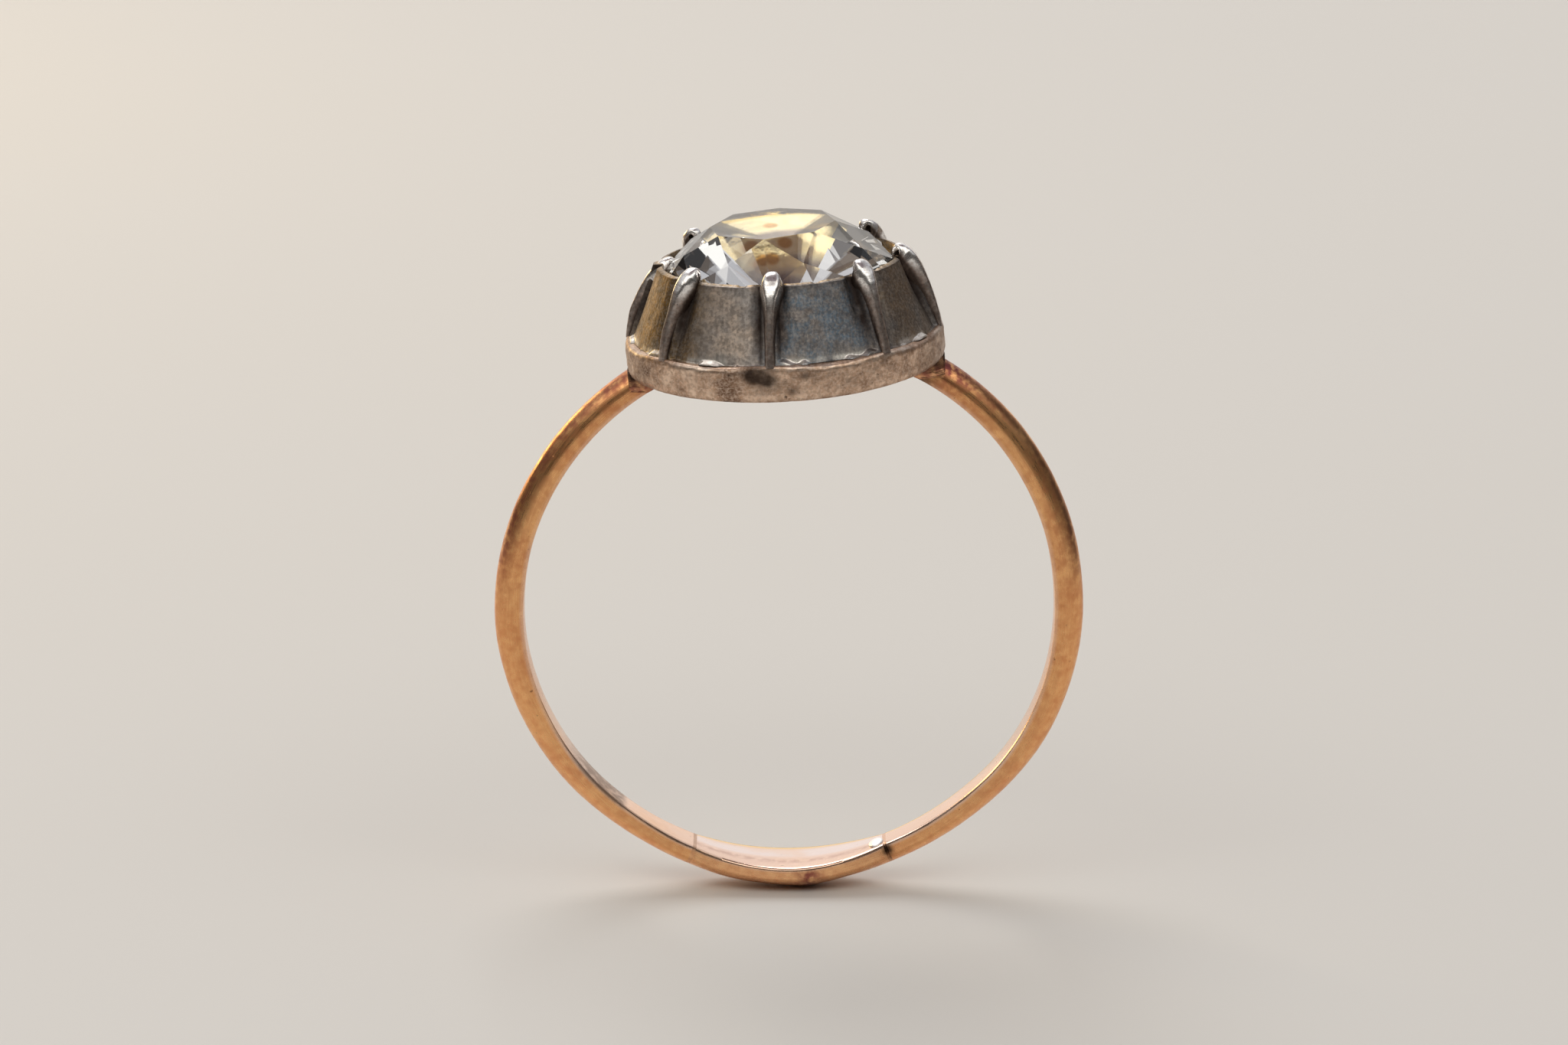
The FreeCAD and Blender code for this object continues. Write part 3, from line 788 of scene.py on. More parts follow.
    def arm(self, side: Side, material: bpy.types.Material) -> None:
        """Build one arm: the section carried from the seam up to the head's underside."""
        top = self.head_angle(side)
        start = -90.0 + self.insert_half + self.seam_angle
        share = np.linspace(0.0, 1.0, self.stations)[:, None]
        upward = start + (top - start) * share
        points = self.place(self.turn_to(side, upward))
        inner = self.inner_face()
        across, low, crown = self.outline().T
        right = side is Side.RIGHT
        # A painted reflection band along the front of the crown: reddish through the scorch mark on the left arm,
        # dark through the soot mark on the right.
        painted_band = bump(across, -0.52, 0.24) * ease(crown, 0.05, 0.4)
        painted_band = painted_band * ease(upward, 2.0, 16.0) * (1.0 - ease(upward, 46.0, 60.0))
        heated = ease(upward, 44.0, 60.0) * (1.0 if right else 0.45) + 0.30 * ease(upward, -5.0, 15.0)
        scorch_and_reflection = heated * (0.35 + 0.65 * ease(crown, 0.1, 0.6))
        soot_and_shade = ease(upward, 56.0, 62.0) * 0.9
        # Real rubbing on the lower arms and the inner faces, which the finish also paints as a paler sheen.
        marks = {"polish": np.clip(ease(-upward, 15.0, 45.0) * (0.05 + 0.95 * inner) + 0.5 * inner, 0.0, 1.0)}
        if right:
            marks["glint"] = bump(across, 0.90, 0.16) * (1.0 - ease(low, 0.3, 0.9)) * ease(-upward, 20.0, 40.0)
            pit = bump(upward, start, 0.9) * bump(low * (1.0 + crown), 0.55, 0.5) * ease(-across, 0.5, 0.9)
            soot_and_shade = soot_and_shade + 0.75 * painted_band + 1.1 * pit
        else:
            scorch_and_reflection = scorch_and_reflection + 0.5 * painted_band
            soot_and_shade = soot_and_shade + 0.62 * inner * ease(-upward, 30.0, 42.0) * ease(upward, -52.5, -50.0)
        marks |= {"scorch_and_reflection": scorch_and_reflection, "soot_and_shade": np.clip(soot_and_shade, 0.0, 0.92)}
        self.build_piece(f"shank_arm_{side.name.lower()}", "rose_gold", points, right, marks, material)

    def insert(self, material: bpy.types.Material) -> None:
        """Build the sizing insert, whose sides bow out between the seams."""
        angle = np.linspace(270.0 - self.insert_half, 270.0 + self.insert_half, 180)[:, None]
        inner = self.inner_face()
        across, low, _ = self.outline().T
        # A painted mauve reflection stripe on the inner face, carried by the scorch mark.
        lilac_reflection = 0.35 * inner * bump(across, -0.35, 0.16)
        marks = {
            # This mark holds a painted highlight stripe along the inner face.
            "polish": np.clip(inner * (bump(across, 0.35, 0.30) + 0.5), 0.0, 1.0) + 0.05,
            "scorch_and_reflection": np.clip(0.95 * bump(angle, 274.0, 2.4) * (1.0 - inner) + lilac_reflection, 0.0, 1.0),
            "soot_and_shade": 0.9 * bump(angle, 270.0 + self.insert_half, 0.6) * bump(low, 0.6, 0.35) * ease(-across, 0.5, 0.9),
            "glint": bump(across, 0.92, 0.13) * (1.0 - ease(low, 0.3, 0.9)),
        }
        self.build_piece("sizing_insert", "insert_gold", self.place(angle), True, marks, material)

    def seam_wafer(self, side: Side, material: bpy.types.Material) -> None:
        """Build one solder seam: a thin wafer that lies a little sunk between its neighbours.

        The right-hand seam has a dark pit in front.
        """
        half = self.seam_angle / 2.0
        middle = 270.0 + side.value * (self.insert_half + half)
        angle = np.linspace(middle - half, middle + half, 15)[:, None]
        inner = self.inner_face()
        across, low, _ = self.outline().T
        front = ease(-across, 0.55, 0.95) * bump(low, 0.5, 0.5)
        right = side is Side.RIGHT
        sunk = -bump(angle, middle, half * 0.6) * (0.002 + (0.09 * front if right else 0.0))
        marks = {"polish": 0.6 * inner, "scorch_and_reflection": 0.05, "soot_and_shade": 0.95 * front + 0.12 if right else 0.30 * inner}
        points = self.place(angle, sunk)
        self.build_piece(f"sizing_seam_{side.name.lower()}", "gold_solder", points, True, marks, material)

    def bead(self, material: bpy.types.Material) -> None:
        """Build the smooth bead of solder left inside beside the right-hand seam.

        It is a flattened dome: a half circle of latitudes, longer across the shank than along.
        """
        turn = np.linspace(2.0 * math.pi, 0.0, 48, endpoint=False)[None, :]
        latitude = np.linspace(0.02, math.pi - 0.02, 28)[:, None]
        along = np.degrees(0.26 * np.sin(latitude) * np.cos(turn) / self.finger_radius)
        angle = 270.0 + self.insert_half - 1.5 + along
        side = -0.20 + 0.40 * np.sin(latitude) * np.sin(turn)
        points = round_y(angle, side, self.hole_radius(angle) - 0.10 * np.cos(latitude))
        # The whole bead is painted with the paler sheen.
        skin = Skin(points, cap=True, marks={"polish": 1.0})
        settle(skin.make("solder_bead"), material, "gold_solder", "sizing_seam_right")

    def shoulder(self, side: Side, rim_radius: float, material: bpy.types.Material) -> None:
        """Build the solder round the top of an arm: a collar that flares towards the head.

        Rows run up the arm. The section is pushed outwards by the share of the way up to the
        power 2.4, and held within the rim's cylinder.
        """
        share = np.linspace(0.0, 1.0, 40)[:, None]
        upward = self.head_angle(side) - 7.0 * (1.0 - share)
        flare = 0.015 + 0.32 * share**2.4
        flare = flare + 0.025 * ripple(share * 3.0, np.arange(self.around) / 6.0, 1.3, 2.0)
        head = self.seat.to_head(self.place(self.turn_to(side, upward), flare))
        reach = np.hypot(head[..., 0], head[..., 1])
        head[..., :2] *= np.minimum(1.0, (rim_radius - 0.03) / reach)[..., None]
        head[..., 2] = np.minimum(head[..., 2], 0.02)
        name = f"shoulder_solder_{side.name.lower()}"
        marks = {"scorch_and_reflection": 0.8, "soot_and_shade": ease(share, 0.10, 0.70)}
        self.build_piece(name, "shoulder_solder", self.seat.to_ring(head), side is Side.RIGHT, marks, material)


# Head ---------------------------------------------------------------------------------------


@dataclass
class Head:
    """The silver setting: closed back, rim, collet wall and claws.

    Angles are bearings, anticlockwise from +X as seen from above.

    Attributes:
        seat: Where it stands on the shank.
        turn: How far the first claw stands from the front, anticlockwise from above.
        claws: How many claws.
        rim_radius, rim_height, rim_bore: The plain band at the foot.
        dome, back: Depth of the closed back's dome, and its thickness.
        foot, top, height: Outer radius of the wall below and above, and how high it rises.
        bezel: Thickness of the wall's upper edge.
        tips: How each claw's top was pushed outwards, upwards and anticlockwise.
        spots: Dark spots on the rim, each with its strength, bearing and its half width there,
            level and half height.
    """

    seat: HeadSeat
    turn: float = -5.0
    claws: int = 8
    rim_radius: float = 5.12
    rim_height: float = 1.05
    rim_bore: float = 4.47
    dome: float = 0.40
    back: float = 0.35
    foot: float = 4.97
    top: float = 4.06
    height: float = 2.35
    bezel: float = 0.32
    tips: tuple[Triple, ...] = (
        (0.0, 0.03, 0.08), (0.0, 0.06, 0.08), (0.0, -0.06, 0.0), (-0.15, 0.16, 0.05),
        (0.0, 0.0, 0.0), (0.10, 0.08, 0.30), (-0.30, -0.26, 0.0), (-0.14, 0.0, 0.14))
    spots: tuple[tuple[float, ...], ...] = (
        (1.5, 259.5, 4.6, 0.78, 0.28), (1.2, 264.5, 2.6, 0.60, 0.18), (0.8, 277.5, 1.6, 0.72, 0.09),
        (0.6, 272.5, 2.4, 0.30, 0.10))

    @property
    def step(self) -> float:
        """Angle from one claw to the next."""
        return 360.0 / self.claws

    def bearing(self, index: float) -> float:
        """Direction of a claw, anticlockwise from +X."""
        return self.turn - 90.0 + index * self.step

    def turned(self, angle: Array, radius: Array, level: Array) -> Array:
        """Points at an angle, a radius and a level in the head's frame, carried to the ring's."""
        return self.seat.to_ring(np.stack(np.broadcast_arrays(*polar(angle, radius), level), -1))

    def from_panel(self, angle: Array) -> Array:
        """Degrees from the middle of the nearest panel, which lies halfway between two claws."""
        return (angle - self.bearing(0.0)) % self.step - self.step / 2.0

    def facing(self, angle: Array, towards: float, low: float, high: float) -> Array:
        """How far a bearing looks towards another: the cosine between them, eased."""
        return ease(np.cos(np.radians(angle - towards)), low, high)

    def wall_radius(self, level: Array) -> Array:
        """The wall's outer radius before its panels are cut, a straight taper with the level."""
        share = (level - self.rim_height) / self.height
        return self.foot + (self.top - self.foot) * share

    def back_plate(self, material: bpy.types.Material) -> None:
        """Build the back: a shallow dome below and a matching one above, round the axis.

        Rows run from the middle of the underside out to the bore and back over the top.
        """
        share = np.concatenate([np.linspace(0.02, 1.0, 30), np.linspace(1.0, 0.02, 30)])[:, None]
        lift = np.where(np.arange(60) < 30, 0.0, self.back)[:, None]
        angle = np.linspace(0.0, 360.0, 128, endpoint=False)[None, :]
        radius = self.rim_bore * share
        level = lift - self.dome * (1.0 - share**2)
        x, y = polar(angle, radius)
        edge = ease(share, 0.86, 1.0)
        marks = {"wear": 0.15 * (1.0 - edge), "soot_and_shade": 0.55 * edge}
        points = self.turned(angle, radius, level + 0.02 * ripple(x, y, 4.0, 4.0))
        skin = Skin(points, cap=True, marks=marks)
        settle(skin.make("back_plate_look"), material, "back_silver", "back_plate")

    def rim(self, material: bpy.types.Material) -> None:
        """Build the rim: a closed rounded profile carried round the axis.

        Its underside dips at the front and the back, its top edge rises between the claws, and
        small dents, pits and one deeper nick mark its outside.
        """
        bore, edge, top = self.rim_bore, self.rim_radius, self.rim_height
        profile = np.array([
            (bore, 0.0), (edge - 0.16, 0.0), (edge - 0.05, 0.05), (edge - 0.005, 0.20), (edge, 0.55),
            (edge - 0.005, 0.88), (edge - 0.05, 1.0), (edge - 0.13, top), (bore, top),
        ])
        profile = resample(soften(resample(profile, 220), 6), 72)[:, None, :]
        angle = np.linspace(0.0, 360.0, 640, endpoint=False)[None, :]
        radius, level = profile[..., 0], profile[..., 1]
        outside = ease(radius, self.rim_bore + 0.2, self.rim_radius - 0.05)
        around = np.radians(angle) * self.rim_radius
        dents = 0.020 * ripple(around, level * 3.0, 0.4, 6.0) + 0.012 * ripple(around, level * 2.0, 2.1, 1.5)
        dents = dents + 0.008 * ripple(around * 1.3, level * 2.5, 6.3, 0.5)
        scallop = 0.04 * np.cos(np.radians(self.from_panel(angle) * self.claws)) * ease(level, 0.8, 1.05)
        sag = 0.13 * np.sin(np.radians(angle)) ** 2 * ease(-level, -0.5, 0.0)
        nick = 0.05 * bump(angle, 272.0, 1.3) * bump(level, 0.05, 0.12)
        points = self.turned(angle, radius + outside * (dents - nick - 0.02), level - outside * (scallop + sag))
        lip = bump(radius, self.rim_radius - 0.03, 0.10) * ease(level, 0.86, 1.0)
        ragged = ease(ripple(around, around * 0.3, 7.0, 3.0), -0.3, 0.55)
        # The underside and the two sides over the shoulders are darker.
        under = ease(-level, -0.16, 0.02) * 0.5 + 0.35 * ease(np.abs(np.cos(np.radians(angle))), 0.72, 0.95)
        soot_and_shade = sum((strength * bump(angle, bearing, width) * bump(level, middle, height)
                    for strength, bearing, width, middle, height in self.spots), under)
        marks = {"wear": lip * ragged * 0.45, "soot_and_shade": np.clip(soot_and_shade, 0.0, 0.92)}
        skin = Skin(points, close_rows=True, marks=marks)
        settle(skin.make("base_rim_look"), material, "rim_silver", "base_rim")

    def panel_depth(self, angle: Array, share: Array) -> Array:
        """How deep the wall is cut away at an angle and a share of its height.

        Each panel is a shallow hollow, deepest in two gouges that run up beside the claws, and
        it ends below in an uneven step.
        """
        off = np.abs(self.from_panel(angle))
        panel = 1.0 - ease(off, 18.0, 20.0)
        gouge = bump(off, 17.0, 3.2) * ease(share, -0.1, 0.95)
        around = np.radians(angle) * self.foot
        begin = -0.045 + 0.06 * ease(ripple(around, 0.4 * around, 2.6, 1.7), -0.1, 0.7) + 0.03 * (off / 18.0) ** 2
        step = ease(share, begin, begin + 0.045)
        return panel * step * (0.115 + 0.02 * np.cos(np.radians(off * 4.0)) + 0.17 * gouge)

    def wall(self, material: bpy.types.Material) -> None:
        """Build the wall: outer face with its panels, worn top edge, and the seat inside."""
        angle = np.linspace(0.0, 360.0, 960, endpoint=False)[None, :]
        share = np.concatenate([np.linspace(0.0, 0.16, 26), np.linspace(0.18, 0.985, 40)])[:, None]
        level = self.rim_height + share * self.height
        around = np.radians(angle) * self.foot
        grain = 0.010 * ripple(around, level, 1.1, 1.9) + 0.005 * ripple(around * 2.5, level * 0.6, 5.2, 0.8)
        outer = self.wall_radius(level) - self.panel_depth(angle, share) + grain
        off = np.abs(self.from_panel(angle))
        ceiling = self.rim_height + self.height
        chips = ease(ripple(around, around * 0.7, 9.0, 1.9), 0.25, 0.9) * (1.0 - ease(off, 12.0, 17.0))
        cut = self.panel_depth(angle, np.ones((1, 1)))
        bore = self.top - self.bezel
        # Radius, level and share of the panel's cut, over the worn top edge and down the inside.
        edge = ((bore + 0.22, ceiling, 1.0), (bore + 0.10, ceiling + 0.015, 0.5), (bore, ceiling - 0.05, 0.0))
        lining = ((bore, 2.92), (bore - 0.45, 2.65), (bore - 0.45, 2.35), (self.rim_bore, self.rim_height))
        radii = [np.maximum(radius - part * cut * 0.8, bore) for radius, _, part in edge]
        radii += [np.full_like(angle, radius) for radius, _ in lining]
        heights = [height - 0.05 * chips for _, height, _ in edge]
        heights += [np.full_like(angle, height) for _, height in lining]
        points = self.turned(angle, np.vstack([outer, *radii]), np.vstack([level + 0.0 * angle, *heights]))

        def whole(outside: Array, within: float = 0.0) -> Array:
            """A mark on the outer face, with one value over the edge and the inside."""
            return np.vstack([np.broadcast_to(outside, outer.shape), np.full((len(radii), outer.shape[1]), within)])

        # Painted shadow in the gouges beside the claws, carried by the soot mark; it also keeps the paler and warm
        # colours out of them.
        beside = bump(off, 18.0, 2.6) * ease(share, -0.1, 0.5)
        lip = bump(share, 0.035, 0.032) * (1.0 - ease(off, 16.5, 19.0))
        ragged = ease(ripple(around, around * 0.3, 3.0, 2.4), -0.35, 0.35)
        # A painted warm reflection on two panels and over the whole inside of the wall.
        warm_reflection = self.facing(angle, 205.0, 0.80, 0.97) * (1.0 - beside) + 0.45 * self.facing(angle, 332.0, 0.93, 0.99)
        marks = {
            "pale": whole(0.95 * self.facing(angle, 246.0, 0.935, 0.985) * (1.0 - beside)),
            "film": whole(0.9 * self.facing(angle, 287.5, 0.90, 0.97) * (1.0 - ease(share, 0.9, 1.0))),
            "wear": whole(lip * ragged + 0.12 * ease(-share, -0.22, -0.08) * ragged, 0.08),
            "soot_and_shade": whole(np.clip(0.95 * beside + 0.35 * ease(share, 0.90, 1.0), 0.0, 0.95)),
            "warm_reflection": whole(np.clip(warm_reflection, 0.0, 1.0), 1.0),
        }
        skin = Skin(points, close_rows=True, marks=marks)
        settle(skin.make("collet_wall_look", sharp=40.0), material, "wall_silver", "collet_wall")

    def claw_path(self, count: int) -> tuple[Array, Array, Array, Array]:
        """The claw's ridge in its own upright plane, with its widths and its depth.

        The ridge climbs from the rim beside the wall, rounds the top and drops its nose on the
        stone. It is narrow at the foot and as broad as a drop near the top, the buttress behind
        it widens upwards, and the depth reaches back to the wall.

        Returns:
            (count, 2) radius and level, and (count,) half widths of the ridge, half widths of
            the buttress, and depths.
        """
        knots = np.array([
            (5.09, 1.02), (5.03, 1.40), (4.92, 1.90), (4.77, 2.40), (4.63, 2.85), (4.51, 3.18), (4.37, 3.44),
            (4.19, 3.66), (4.00, 3.79), (3.82, 3.835), (3.69, 3.77), (3.62, 3.64), (3.60, 3.46), (3.62, 3.32),
        ])
        curve = resample(knots, 120, closed=False)
        for _ in range(6):
            curve[1:-1] = (0.5 * curve + 0.25 * (np.roll(curve, 1, 0) + np.roll(curve, -1, 0)))[1:-1]
        curve = resample(curve, count, closed=False)
        share = np.linspace(0.0, 1.0, count)
        stops = (0.0, 0.2, 0.4, 0.55, 0.66, 0.73, 0.80, 0.86, 0.92, 1.0)
        ridge = np.interp(share, stops, (0.150, 0.135, 0.140, 0.205, 0.285, 0.305, 0.270, 0.200, 0.14, 0.11))
        body = np.interp(share, stops, (0.200, 0.240, 0.330, 0.440, 0.530, 0.500, 0.350, 0.230, 0.15, 0.12))
        depth = np.interp(share, stops, (0.220, 0.420, 0.600, 0.730, 0.780, 0.700, 0.560, 0.420, 0.26, 0.20))
        return curve, ridge, body, depth

    def claw(self, index: int, material: bpy.types.Material) -> None:
        """Build one claw: a keel-shaped section carried along the ridge.

        Across the section, the outside is rounded, the flanks run back from it as hollows that
        spread to the buttress's width, and the end behind is hidden in the wall.
        """
        count, around = 120, 48
        curve, ridge, body, depth = self.claw_path(count)
        ahead = np.gradient(curve, axis=0)
        ahead /= np.linalg.norm(ahead, axis=1)[:, None]
        inwards = np.stack([-ahead[:, 1], ahead[:, 0]], 1)
        turn = np.linspace(2.0 * math.pi, 0.0, around, endpoint=False)[None, :]
        side = np.sign(np.cos(turn)) * np.abs(np.cos(turn)) ** 0.6
        back = np.clip((1.0 - np.sin(turn)) / 2.0, 0.0, 1.0) ** 1.15
        share = np.linspace(0.0, 1.0, count)[:, None]
        lean = 0.04 * math.sin(2.4 * index) * (1.0 - share) ** 2 + 0.05 * math.sin(1.9 * index + 1.0) * share**2
        half = ridge[:, None] + (body - ridge)[:, None] * back**1.6
        across = side * half + lean + 0.012 * ripple(4.0 * share, 1.5 * turn / math.pi, 1.0 + index, 2.2)
        reach = back * depth[:, None] + 0.008 * ripple(4.0 * share, 2.0 * turn / math.pi, 5.0 + index, 1.4)
        outwards, upwards, sideways = self.tips[index]
        pushed = ease(share, 0.15, 0.85)
        across = across + sideways * pushed
        radius = curve[:, :1] + inwards[:, :1] * reach + outwards * pushed
        level = curve[:, 1:] + inwards[:, 1:] * reach + upwards * pushed
        bearing = math.radians(self.bearing(index))
        x = radius * math.cos(bearing) - across * math.sin(bearing)
        y = radius * math.sin(bearing) + across * math.cos(bearing)
        points = self.seat.to_ring(np.stack([x, y, level], -1))
        face = 1.0 - ease(back, 0.10, 0.34)
        tip = ease(share, 0.45, 0.66) * (1.0 - ease(back, 0.26, 0.50)) * (1.0 - ease(share, 0.90, 0.97))
        # Tarnish and painted shade darken the claw's flanks and back against the wall; its nose over the stone is
        # darkened too.
        grime_and_shade = ease(back, 0.24 + 0.12 * ease(share, 0.45, 0.66), 0.55) * 0.92
        marks = {
            "wear": np.clip(face * (0.08 + 0.24 * share) + tip, 0.0, 1.0),
            "soot_and_shade": np.clip(grime_and_shade + 0.7 * ease(share, 0.90, 0.96), 0.0, 0.95),
        }
        name = f"claw_{index + 1}"
        settle(Skin(points, cap=True, marks=marks).make(f"{name}_look"), material, "claw_silver", name)


@dataclass
class Stone:
    """The round stone, its facets cut by hand and so a little uneven.

    Attributes:
        head: The setting that holds it.
        radius: Radius of the girdle.
        girdle, belt: Level of the girdle's upper edge, and its height.
        table, table_radius: Level of the table, and how far its corners stand out.
        culet, culet_radius: Level and size of the small facet at the point.
        star: Share of the crown's height at which the star facets end.
        table_shift, table_stretch: How the table strays from the middle, and from front to back.
        corner_turns, corner_reach: How each of its corners strays.
    """

    head: Head
    radius: float = 3.72
    girdle: float = 3.20
    belt: float = 0.12
    table: float = 4.54
    table_radius: float = 2.00
    culet: float = 0.88
    culet_radius: float = 0.15
    star: float = 0.5
    table_shift: float = -0.17
    table_stretch: float = 1.12
    corner_turns: tuple[float, ...] = (-3.0, 4.0, 3.0, 2.0, -1.0, 1.0, 6.0, -4.0)
    corner_reach: tuple[float, ...] = (0.02, -0.08, 0.0, 0.10, -0.02, -0.06, 0.0, 0.13)

    def rings(self) -> list[Array]:
        """The stone's corners, ring by ring from the table down, in the head's frame.

        Each main facet's plane holds a table corner and touches the girdle; the point where
        two of them meet a star facet's plane solves their three equations together.
        """
        claws = self.head.claws
        bearing = np.radians(self.head.bearing(0.0) + np.arange(claws) * self.head.step)
        corner = bearing + np.radians(self.corner_turns)
        reach = self.table_radius + np.array(self.corner_reach)
        table = np.stack([reach * np.cos(corner), reach * np.sin(corner), np.full(claws, self.table)], 1)
        outward = np.stack([np.cos(bearing), np.sin(bearing)], 1)
        rise = self.table - self.girdle
        run = self.radius - (table[:, :2] * outward).sum(1)
        normal = np.stack([outward[:, 0] * rise, outward[:, 1] * rise, run], 1)
        offset = (normal * table).sum(1)
        star_level = self.girdle + self.star * rise
        following = np.roll(normal, -1, 0)
        planes = np.stack([normal, following, np.broadcast_to((0.0, 0.0, 1.0), normal.shape)], 1)
        sides = np.stack([offset, np.roll(offset, -1), np.full(claws, star_level)], 1)
        stars = np.linalg.solve(planes, sides[..., None])[..., 0]
        half = np.radians(self.head.step / 2.0)
        round_ = np.stack([bearing, bearing + half], 1).ravel()
        x, y = self.radius * np.cos(round_), self.radius * np.sin(round_)
        upper = np.stack([x, y, np.full(2 * claws, self.girdle)], 1)
        lower = upper - (0.0, 0.0, self.belt)
        x, y = self.culet_radius * np.cos(bearing + half), self.culet_radius * np.sin(bearing + half)
        culet = np.stack([x, y, np.full(claws, self.culet)], 1)
        table[:, 0] += self.table_shift
        table[:, 1] *= self.table_stretch
        stars[:, 0] += self.table_shift * self.star
        return [table, stars, upper, lower, culet]

    def build(self, material: bpy.types.Material) -> None:
        """Build the stone as flat facets between its rings of corners."""
        table, stars, upper, lower, culet = self.rings()
        claws = self.head.claws
        first = np.cumsum([0, claws, claws, 2 * claws, 2 * claws])
        k = np.arange(claws)
        after, before = (k + 1) % claws, (k - 1) % claws
        girdle, middle, next_girdle = first[2] + 2 * k, first[2] + 2 * k + 1, first[2] + 2 * after
        low, low_middle, low_before = first[3] + 2 * k, first[3] + 2 * k + 1, first[3] + 2 * before + 1
        star, culet_corner = first[1] + k, first[4] + k
        belt = np.arange(2 * claws)
        belt_next = (belt + 1) % (2 * claws)
        facets = (
            (k, first[1] + before, girdle, star),
            (k, star, after),
            (star, girdle, middle),
            (star, middle, next_girdle),
            (first[2] + belt, first[3] + belt, first[3] + belt_next, first[2] + belt_next),
            (low, low_before, first[4] + before, culet_corner),
            (low, culet_corner, low_middle),
        )
        faces = [k.tolist()]
        for facet in facets:
            faces += np.stack(facet, 1).tolist()
        faces.append(culet_corner[::-1].tolist())
        corners = self.head.seat.to_ring(np.vstack([table, stars, upper, lower, culet]))
        mesh = bpy.data.meshes.new("gemstone_look")
        mesh.from_pydata((corners * MM).tolist(), [], faces)
        mesh.validate()
        settle(show("gemstone_look", mesh), material, "stone", "gemstone")


# Studio -------------------------------------------------------------------------------------


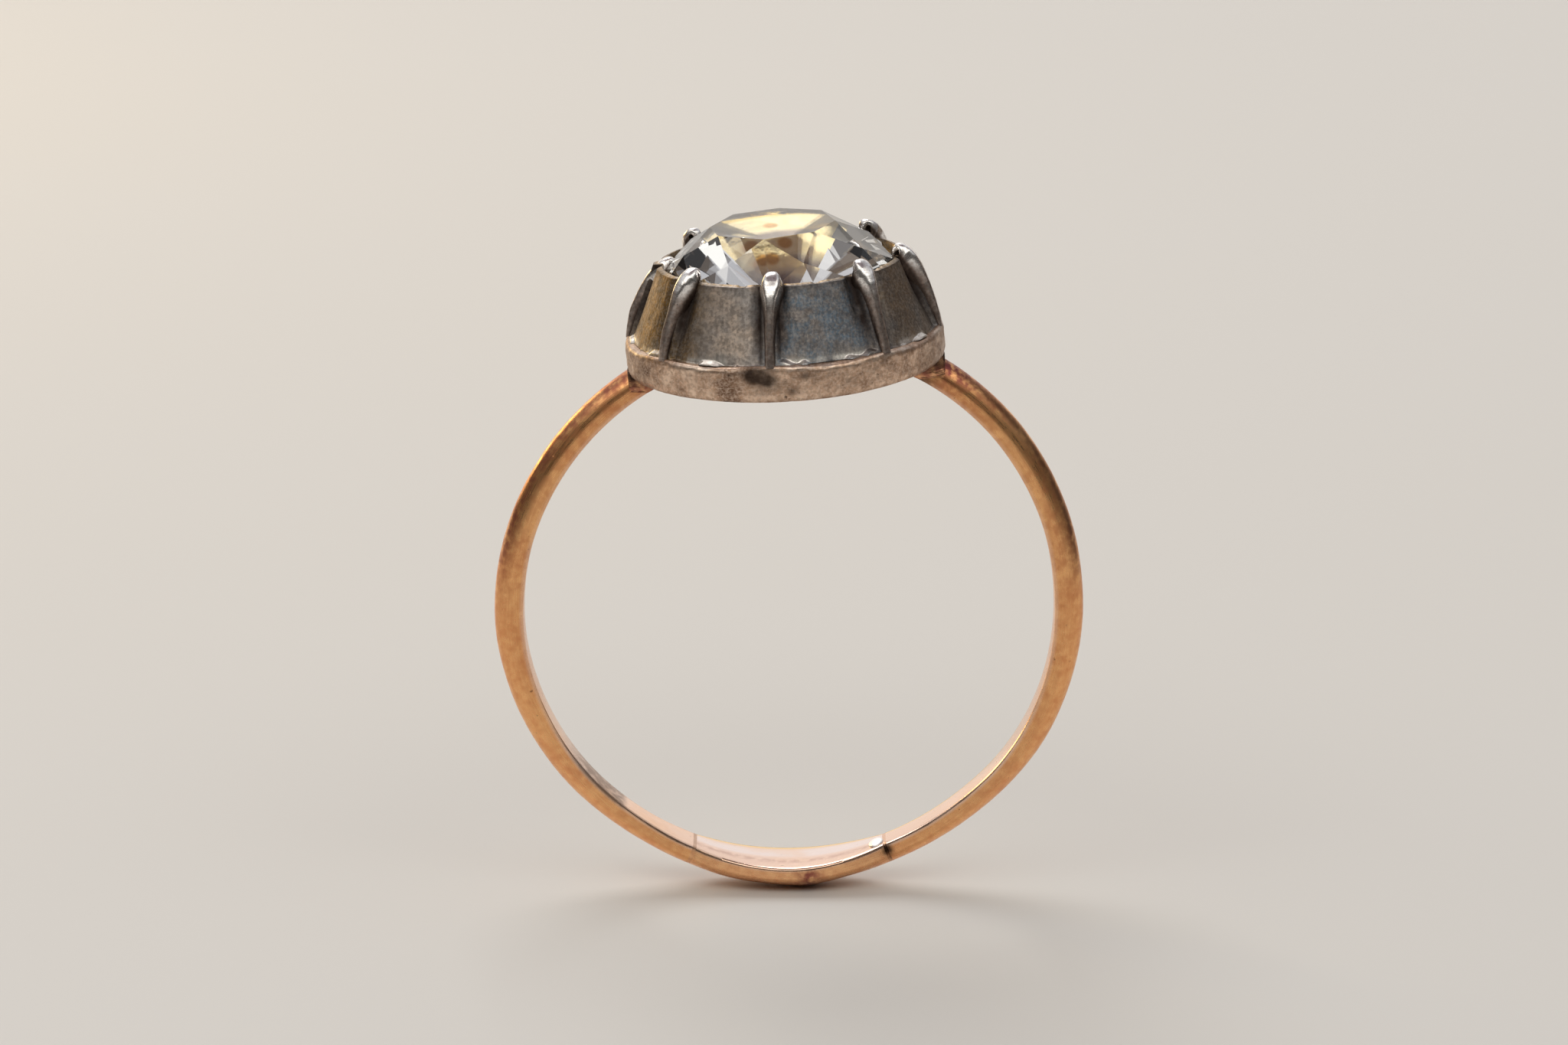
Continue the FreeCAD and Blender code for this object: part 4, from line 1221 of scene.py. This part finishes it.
@dataclass(frozen=True)
class Studio:
    """A plain pale floor, soft light and the camera.

    Attributes:
        elevation: How high the camera looks from, degrees.
        distance: From the centre of the finger hole to the camera, millimetres.
        scale: Picture units to the millimetre at that distance, for a picture 2048 wide.
        aim: How far right of and above the hole's centre the picture's centre lies, millimetres.
        floor, floor_patch: The floor's colour, and that of its soft patches.
        strength: Strength of the room's light.
        front, rear, flanks: Light by the height of its direction, in each part of the room.
        right: Tint that dims the right side.
    """

    elevation: float = 15.5
    distance: float = 245.0
    scale: float = 40.45
    aim: tuple[float, float] = (-0.193, 2.57)
    floor: Colour = (0.70, 0.68, 0.645)
    floor_patch: Colour = (0.70, 0.695, 0.69)
    strength: float = 1.12
    front: Stops = ((0.0, (0.06, 0.055, 0.05)), (0.50, (0.08, 0.075, 0.07)), (0.62, (1.5, 1.46, 1.36)),
                    (0.82, (1.6, 1.56, 1.46)), (0.90, (0.19, 0.155, 0.165)))
    rear: Stops = ((0.0, (0.85, 0.78, 0.70)), (0.40, (0.80, 0.78, 0.76)), (0.63, (1.0, 1.0, 1.0)),
                   (0.82, (0.9, 0.9, 0.9)), (0.90, (0.19, 0.155, 0.165)))
    flanks: Stops = ((0.0, (0.16, 0.11, 0.07)), (0.30, (0.10, 0.08, 0.07)), (0.60, (0.60, 0.60, 0.62)),
                     (0.82, (0.34, 0.32, 0.33)), (0.90, (0.19, 0.155, 0.165)))
    right: Colour = (0.60, 0.64, 0.70)

    def camera(self) -> None:
        """Set the camera, level and unshifted, looking at the aim."""
        angle = math.radians(self.elevation)
        up = Vector((0.0, math.sin(angle), math.cos(angle)))
        target = (Vector((1.0, 0.0, 0.0)) * self.aim[0] + up * self.aim[1]) * MM
        data = bpy.data.cameras.new("camera")
        data.sensor_width = 36.0
        data.lens = self.scale * self.distance / 2048.0 * data.sensor_width
        data.clip_start = 0.01
        camera = show("camera", data)
        camera.location = Vector((0.0, -math.cos(angle), math.sin(angle))) * self.distance * MM
        camera.rotation_euler = (target - camera.location).to_track_quat("-Z", "Y").to_euler()
        bpy.context.scene.camera = camera

    def ground(self, level: float) -> None:
        """Lay the floor, wide enough to fill the picture, at a level in metres."""
        half = 0.6
        mesh = bpy.data.meshes.new("floor")
        corners = [(-half, -half, level), (half, -half, level), (half, 3 * half, level), (-half, 3 * half, level)]
        mesh.from_pydata(corners, [], [(0, 1, 2, 3)])
        floor = show("floor", mesh)
        recipe = Recipe("pale floor")
        patch = recipe.span(recipe.noise(0.03, 3.0, seed=41.0), 0.3, 0.7, 0.0, 0.12)
        tone = recipe.blend(patch, self.floor, self.floor_patch)
        mesh.materials.append(recipe.surface(Base_Color=tone, Roughness=0.6))
        floor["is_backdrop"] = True

    def light(self, name: str, place: Triple, size: tuple[float, float], power: float,
              colour: Colour) -> None:
        """Hang one soft rectangular light that faces the head.

        Args:
            name: The light's name.
            place: Where it hangs, millimetres.
            size: Width and height, millimetres.
            power: Watts.
            colour: Its colour.
        """
        data = bpy.data.lights.new(name, "AREA")
        data.shape = "RECTANGLE"
        data.size, data.size_y = size[0] * MM, size[1] * MM
        data.energy = power
        data.color = colour
        lamp = show(name, data)
        lamp.location = Vector(place) * MM
        lamp.rotation_euler = (Vector((0.0, 0.0, 0.004)) - lamp.location).to_track_quat("-Z", "Y").to_euler()

    def surroundings(self) -> None:
        """Fill the room with soft light: a bright ceiling, a pale wall behind, a dim room in front.

        The light in a direction blends three ramps by its height: one for the front of the room,
        one for its sides and one for the back. The right side is a little dimmer than the left.
        """
        world = bpy.data.worlds.new("room")
        bpy.context.scene.world = world
        world.use_nodes = True
        nodes = Nodes(world.node_tree)
        split = nodes.add("ShaderNodeSeparateXYZ")
        nodes.feed(split.inputs[0], nodes.add("ShaderNodeTexCoord").outputs["Generated"])
        x, y, z = split.outputs
        room = nodes.blend(nodes.span(y, -0.35, 0.25), nodes.ramp(z, self.front), nodes.ramp(z, self.flanks))
        room = nodes.blend(nodes.span(y, 0.72, 0.90), room, nodes.ramp(z, self.rear))
        room = nodes.blend(nodes.span(x, -0.2, 0.9, 0.0, 0.35), room, self.right, "MULTIPLY")
        shade = nodes.add("ShaderNodeBackground")
        nodes.feed(shade.inputs["Strength"], self.strength)
        nodes.feed(shade.inputs["Color"], room)
        nodes.feed(nodes.add("ShaderNodeOutputWorld").inputs["Surface"], shade.outputs[0])

    def build(self, floor_level: float) -> None:
        """Set the whole studio."""
        self.camera()
        self.ground(floor_level)
        self.surroundings()
        self.light("ceiling panel", (-300.0, 900.0, 1200.0), (900.0, 900.0), 8.5, (1.0, 0.99, 0.97))
        self.light("warm glow", (-120.0, 150.0, 45.0), (60.0, 60.0), 0.05, (1.0, 0.72, 0.32))
        bpy.context.scene.view_settings.view_transform = "Standard"


def main() -> None:
    """Build the ring's looks piece by piece, then the studio round it."""
    logging.basicConfig(level=logging.INFO, format="%(name)s %(message)s")
    seat = HeadSeat()
    shank, head = Shank(seat), Head(seat)

    old_gold = WornGold("rose gold").make()
    insert_gold = WornGold("insert gold", clean=(0.98, 0.56, 0.27), toned=(0.80, 0.38, 0.17),
                           polished_sheen=(0.95, 0.80, 0.76), gloss=(0.16, 0.36)).make()
    solder = WornGold("gold solder", clean=(0.92, 0.52, 0.27), toned=(0.68, 0.34, 0.17), gloss=(0.22, 0.42)).make()
    bright_solder = WornGold("bright solder", clean=(0.97, 0.93, 0.90), toned=(0.92, 0.86, 0.82),
                             polished_sheen=(0.98, 0.95, 0.93), gloss=(0.45, 0.55)).make()
    for side in Side:
        shank.arm(side, old_gold)
        shank.seam_wafer(side, solder)
        shank.shoulder(side, head.rim_radius, solder)
    shank.insert(insert_gold)
    shank.bead(bright_solder)

    head.back_plate(OldSilver(
        "dull back silver", film=0.2,
        tones=((0.25, (0.34, 0.30, 0.26)), (0.55, (0.24, 0.21, 0.18)), (0.8, (0.13, 0.11, 0.10)))).make())
    head.rim(OldSilver(
        "worn rim silver", dust=(0.88, 0.70, 0.57), shade=(0.27, 0.165, 0.105), film=0.0,
        tones=((0.38, (0.88, 0.66, 0.50)), (0.5, (0.64, 0.43, 0.30)), (0.63, (0.24, 0.14, 0.09))),
        brush=(0.7, 7.0, 1.0), gloss=(0.30, 0.52), pitting=1.0).make())
    head.wall(OldSilver("dark wall silver").make())
    claw_silver = OldSilver(
        "bright claw silver", bare=(0.93, 0.91, 0.89), film=0.05,
        tones=((0.25, (0.48, 0.36, 0.30)), (0.55, (0.31, 0.225, 0.185)), (0.8, (0.15, 0.10, 0.08))),
        brush=(0.8, 6.0, 1.0), gloss=(0.26, 0.42), pitting=0.1).make()
    for index in range(head.claws):
        head.claw(index, claw_silver)
    Stone(head).build(StoneFinish().make())
    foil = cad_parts["foil_cup"]
    foil.data.materials.clear()
    foil.data.materials.append(FoilFinish().make())

    Studio().build(min(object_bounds()[0].z, CAD_BOX[0].z))


if __name__ == "__main__":
    main()
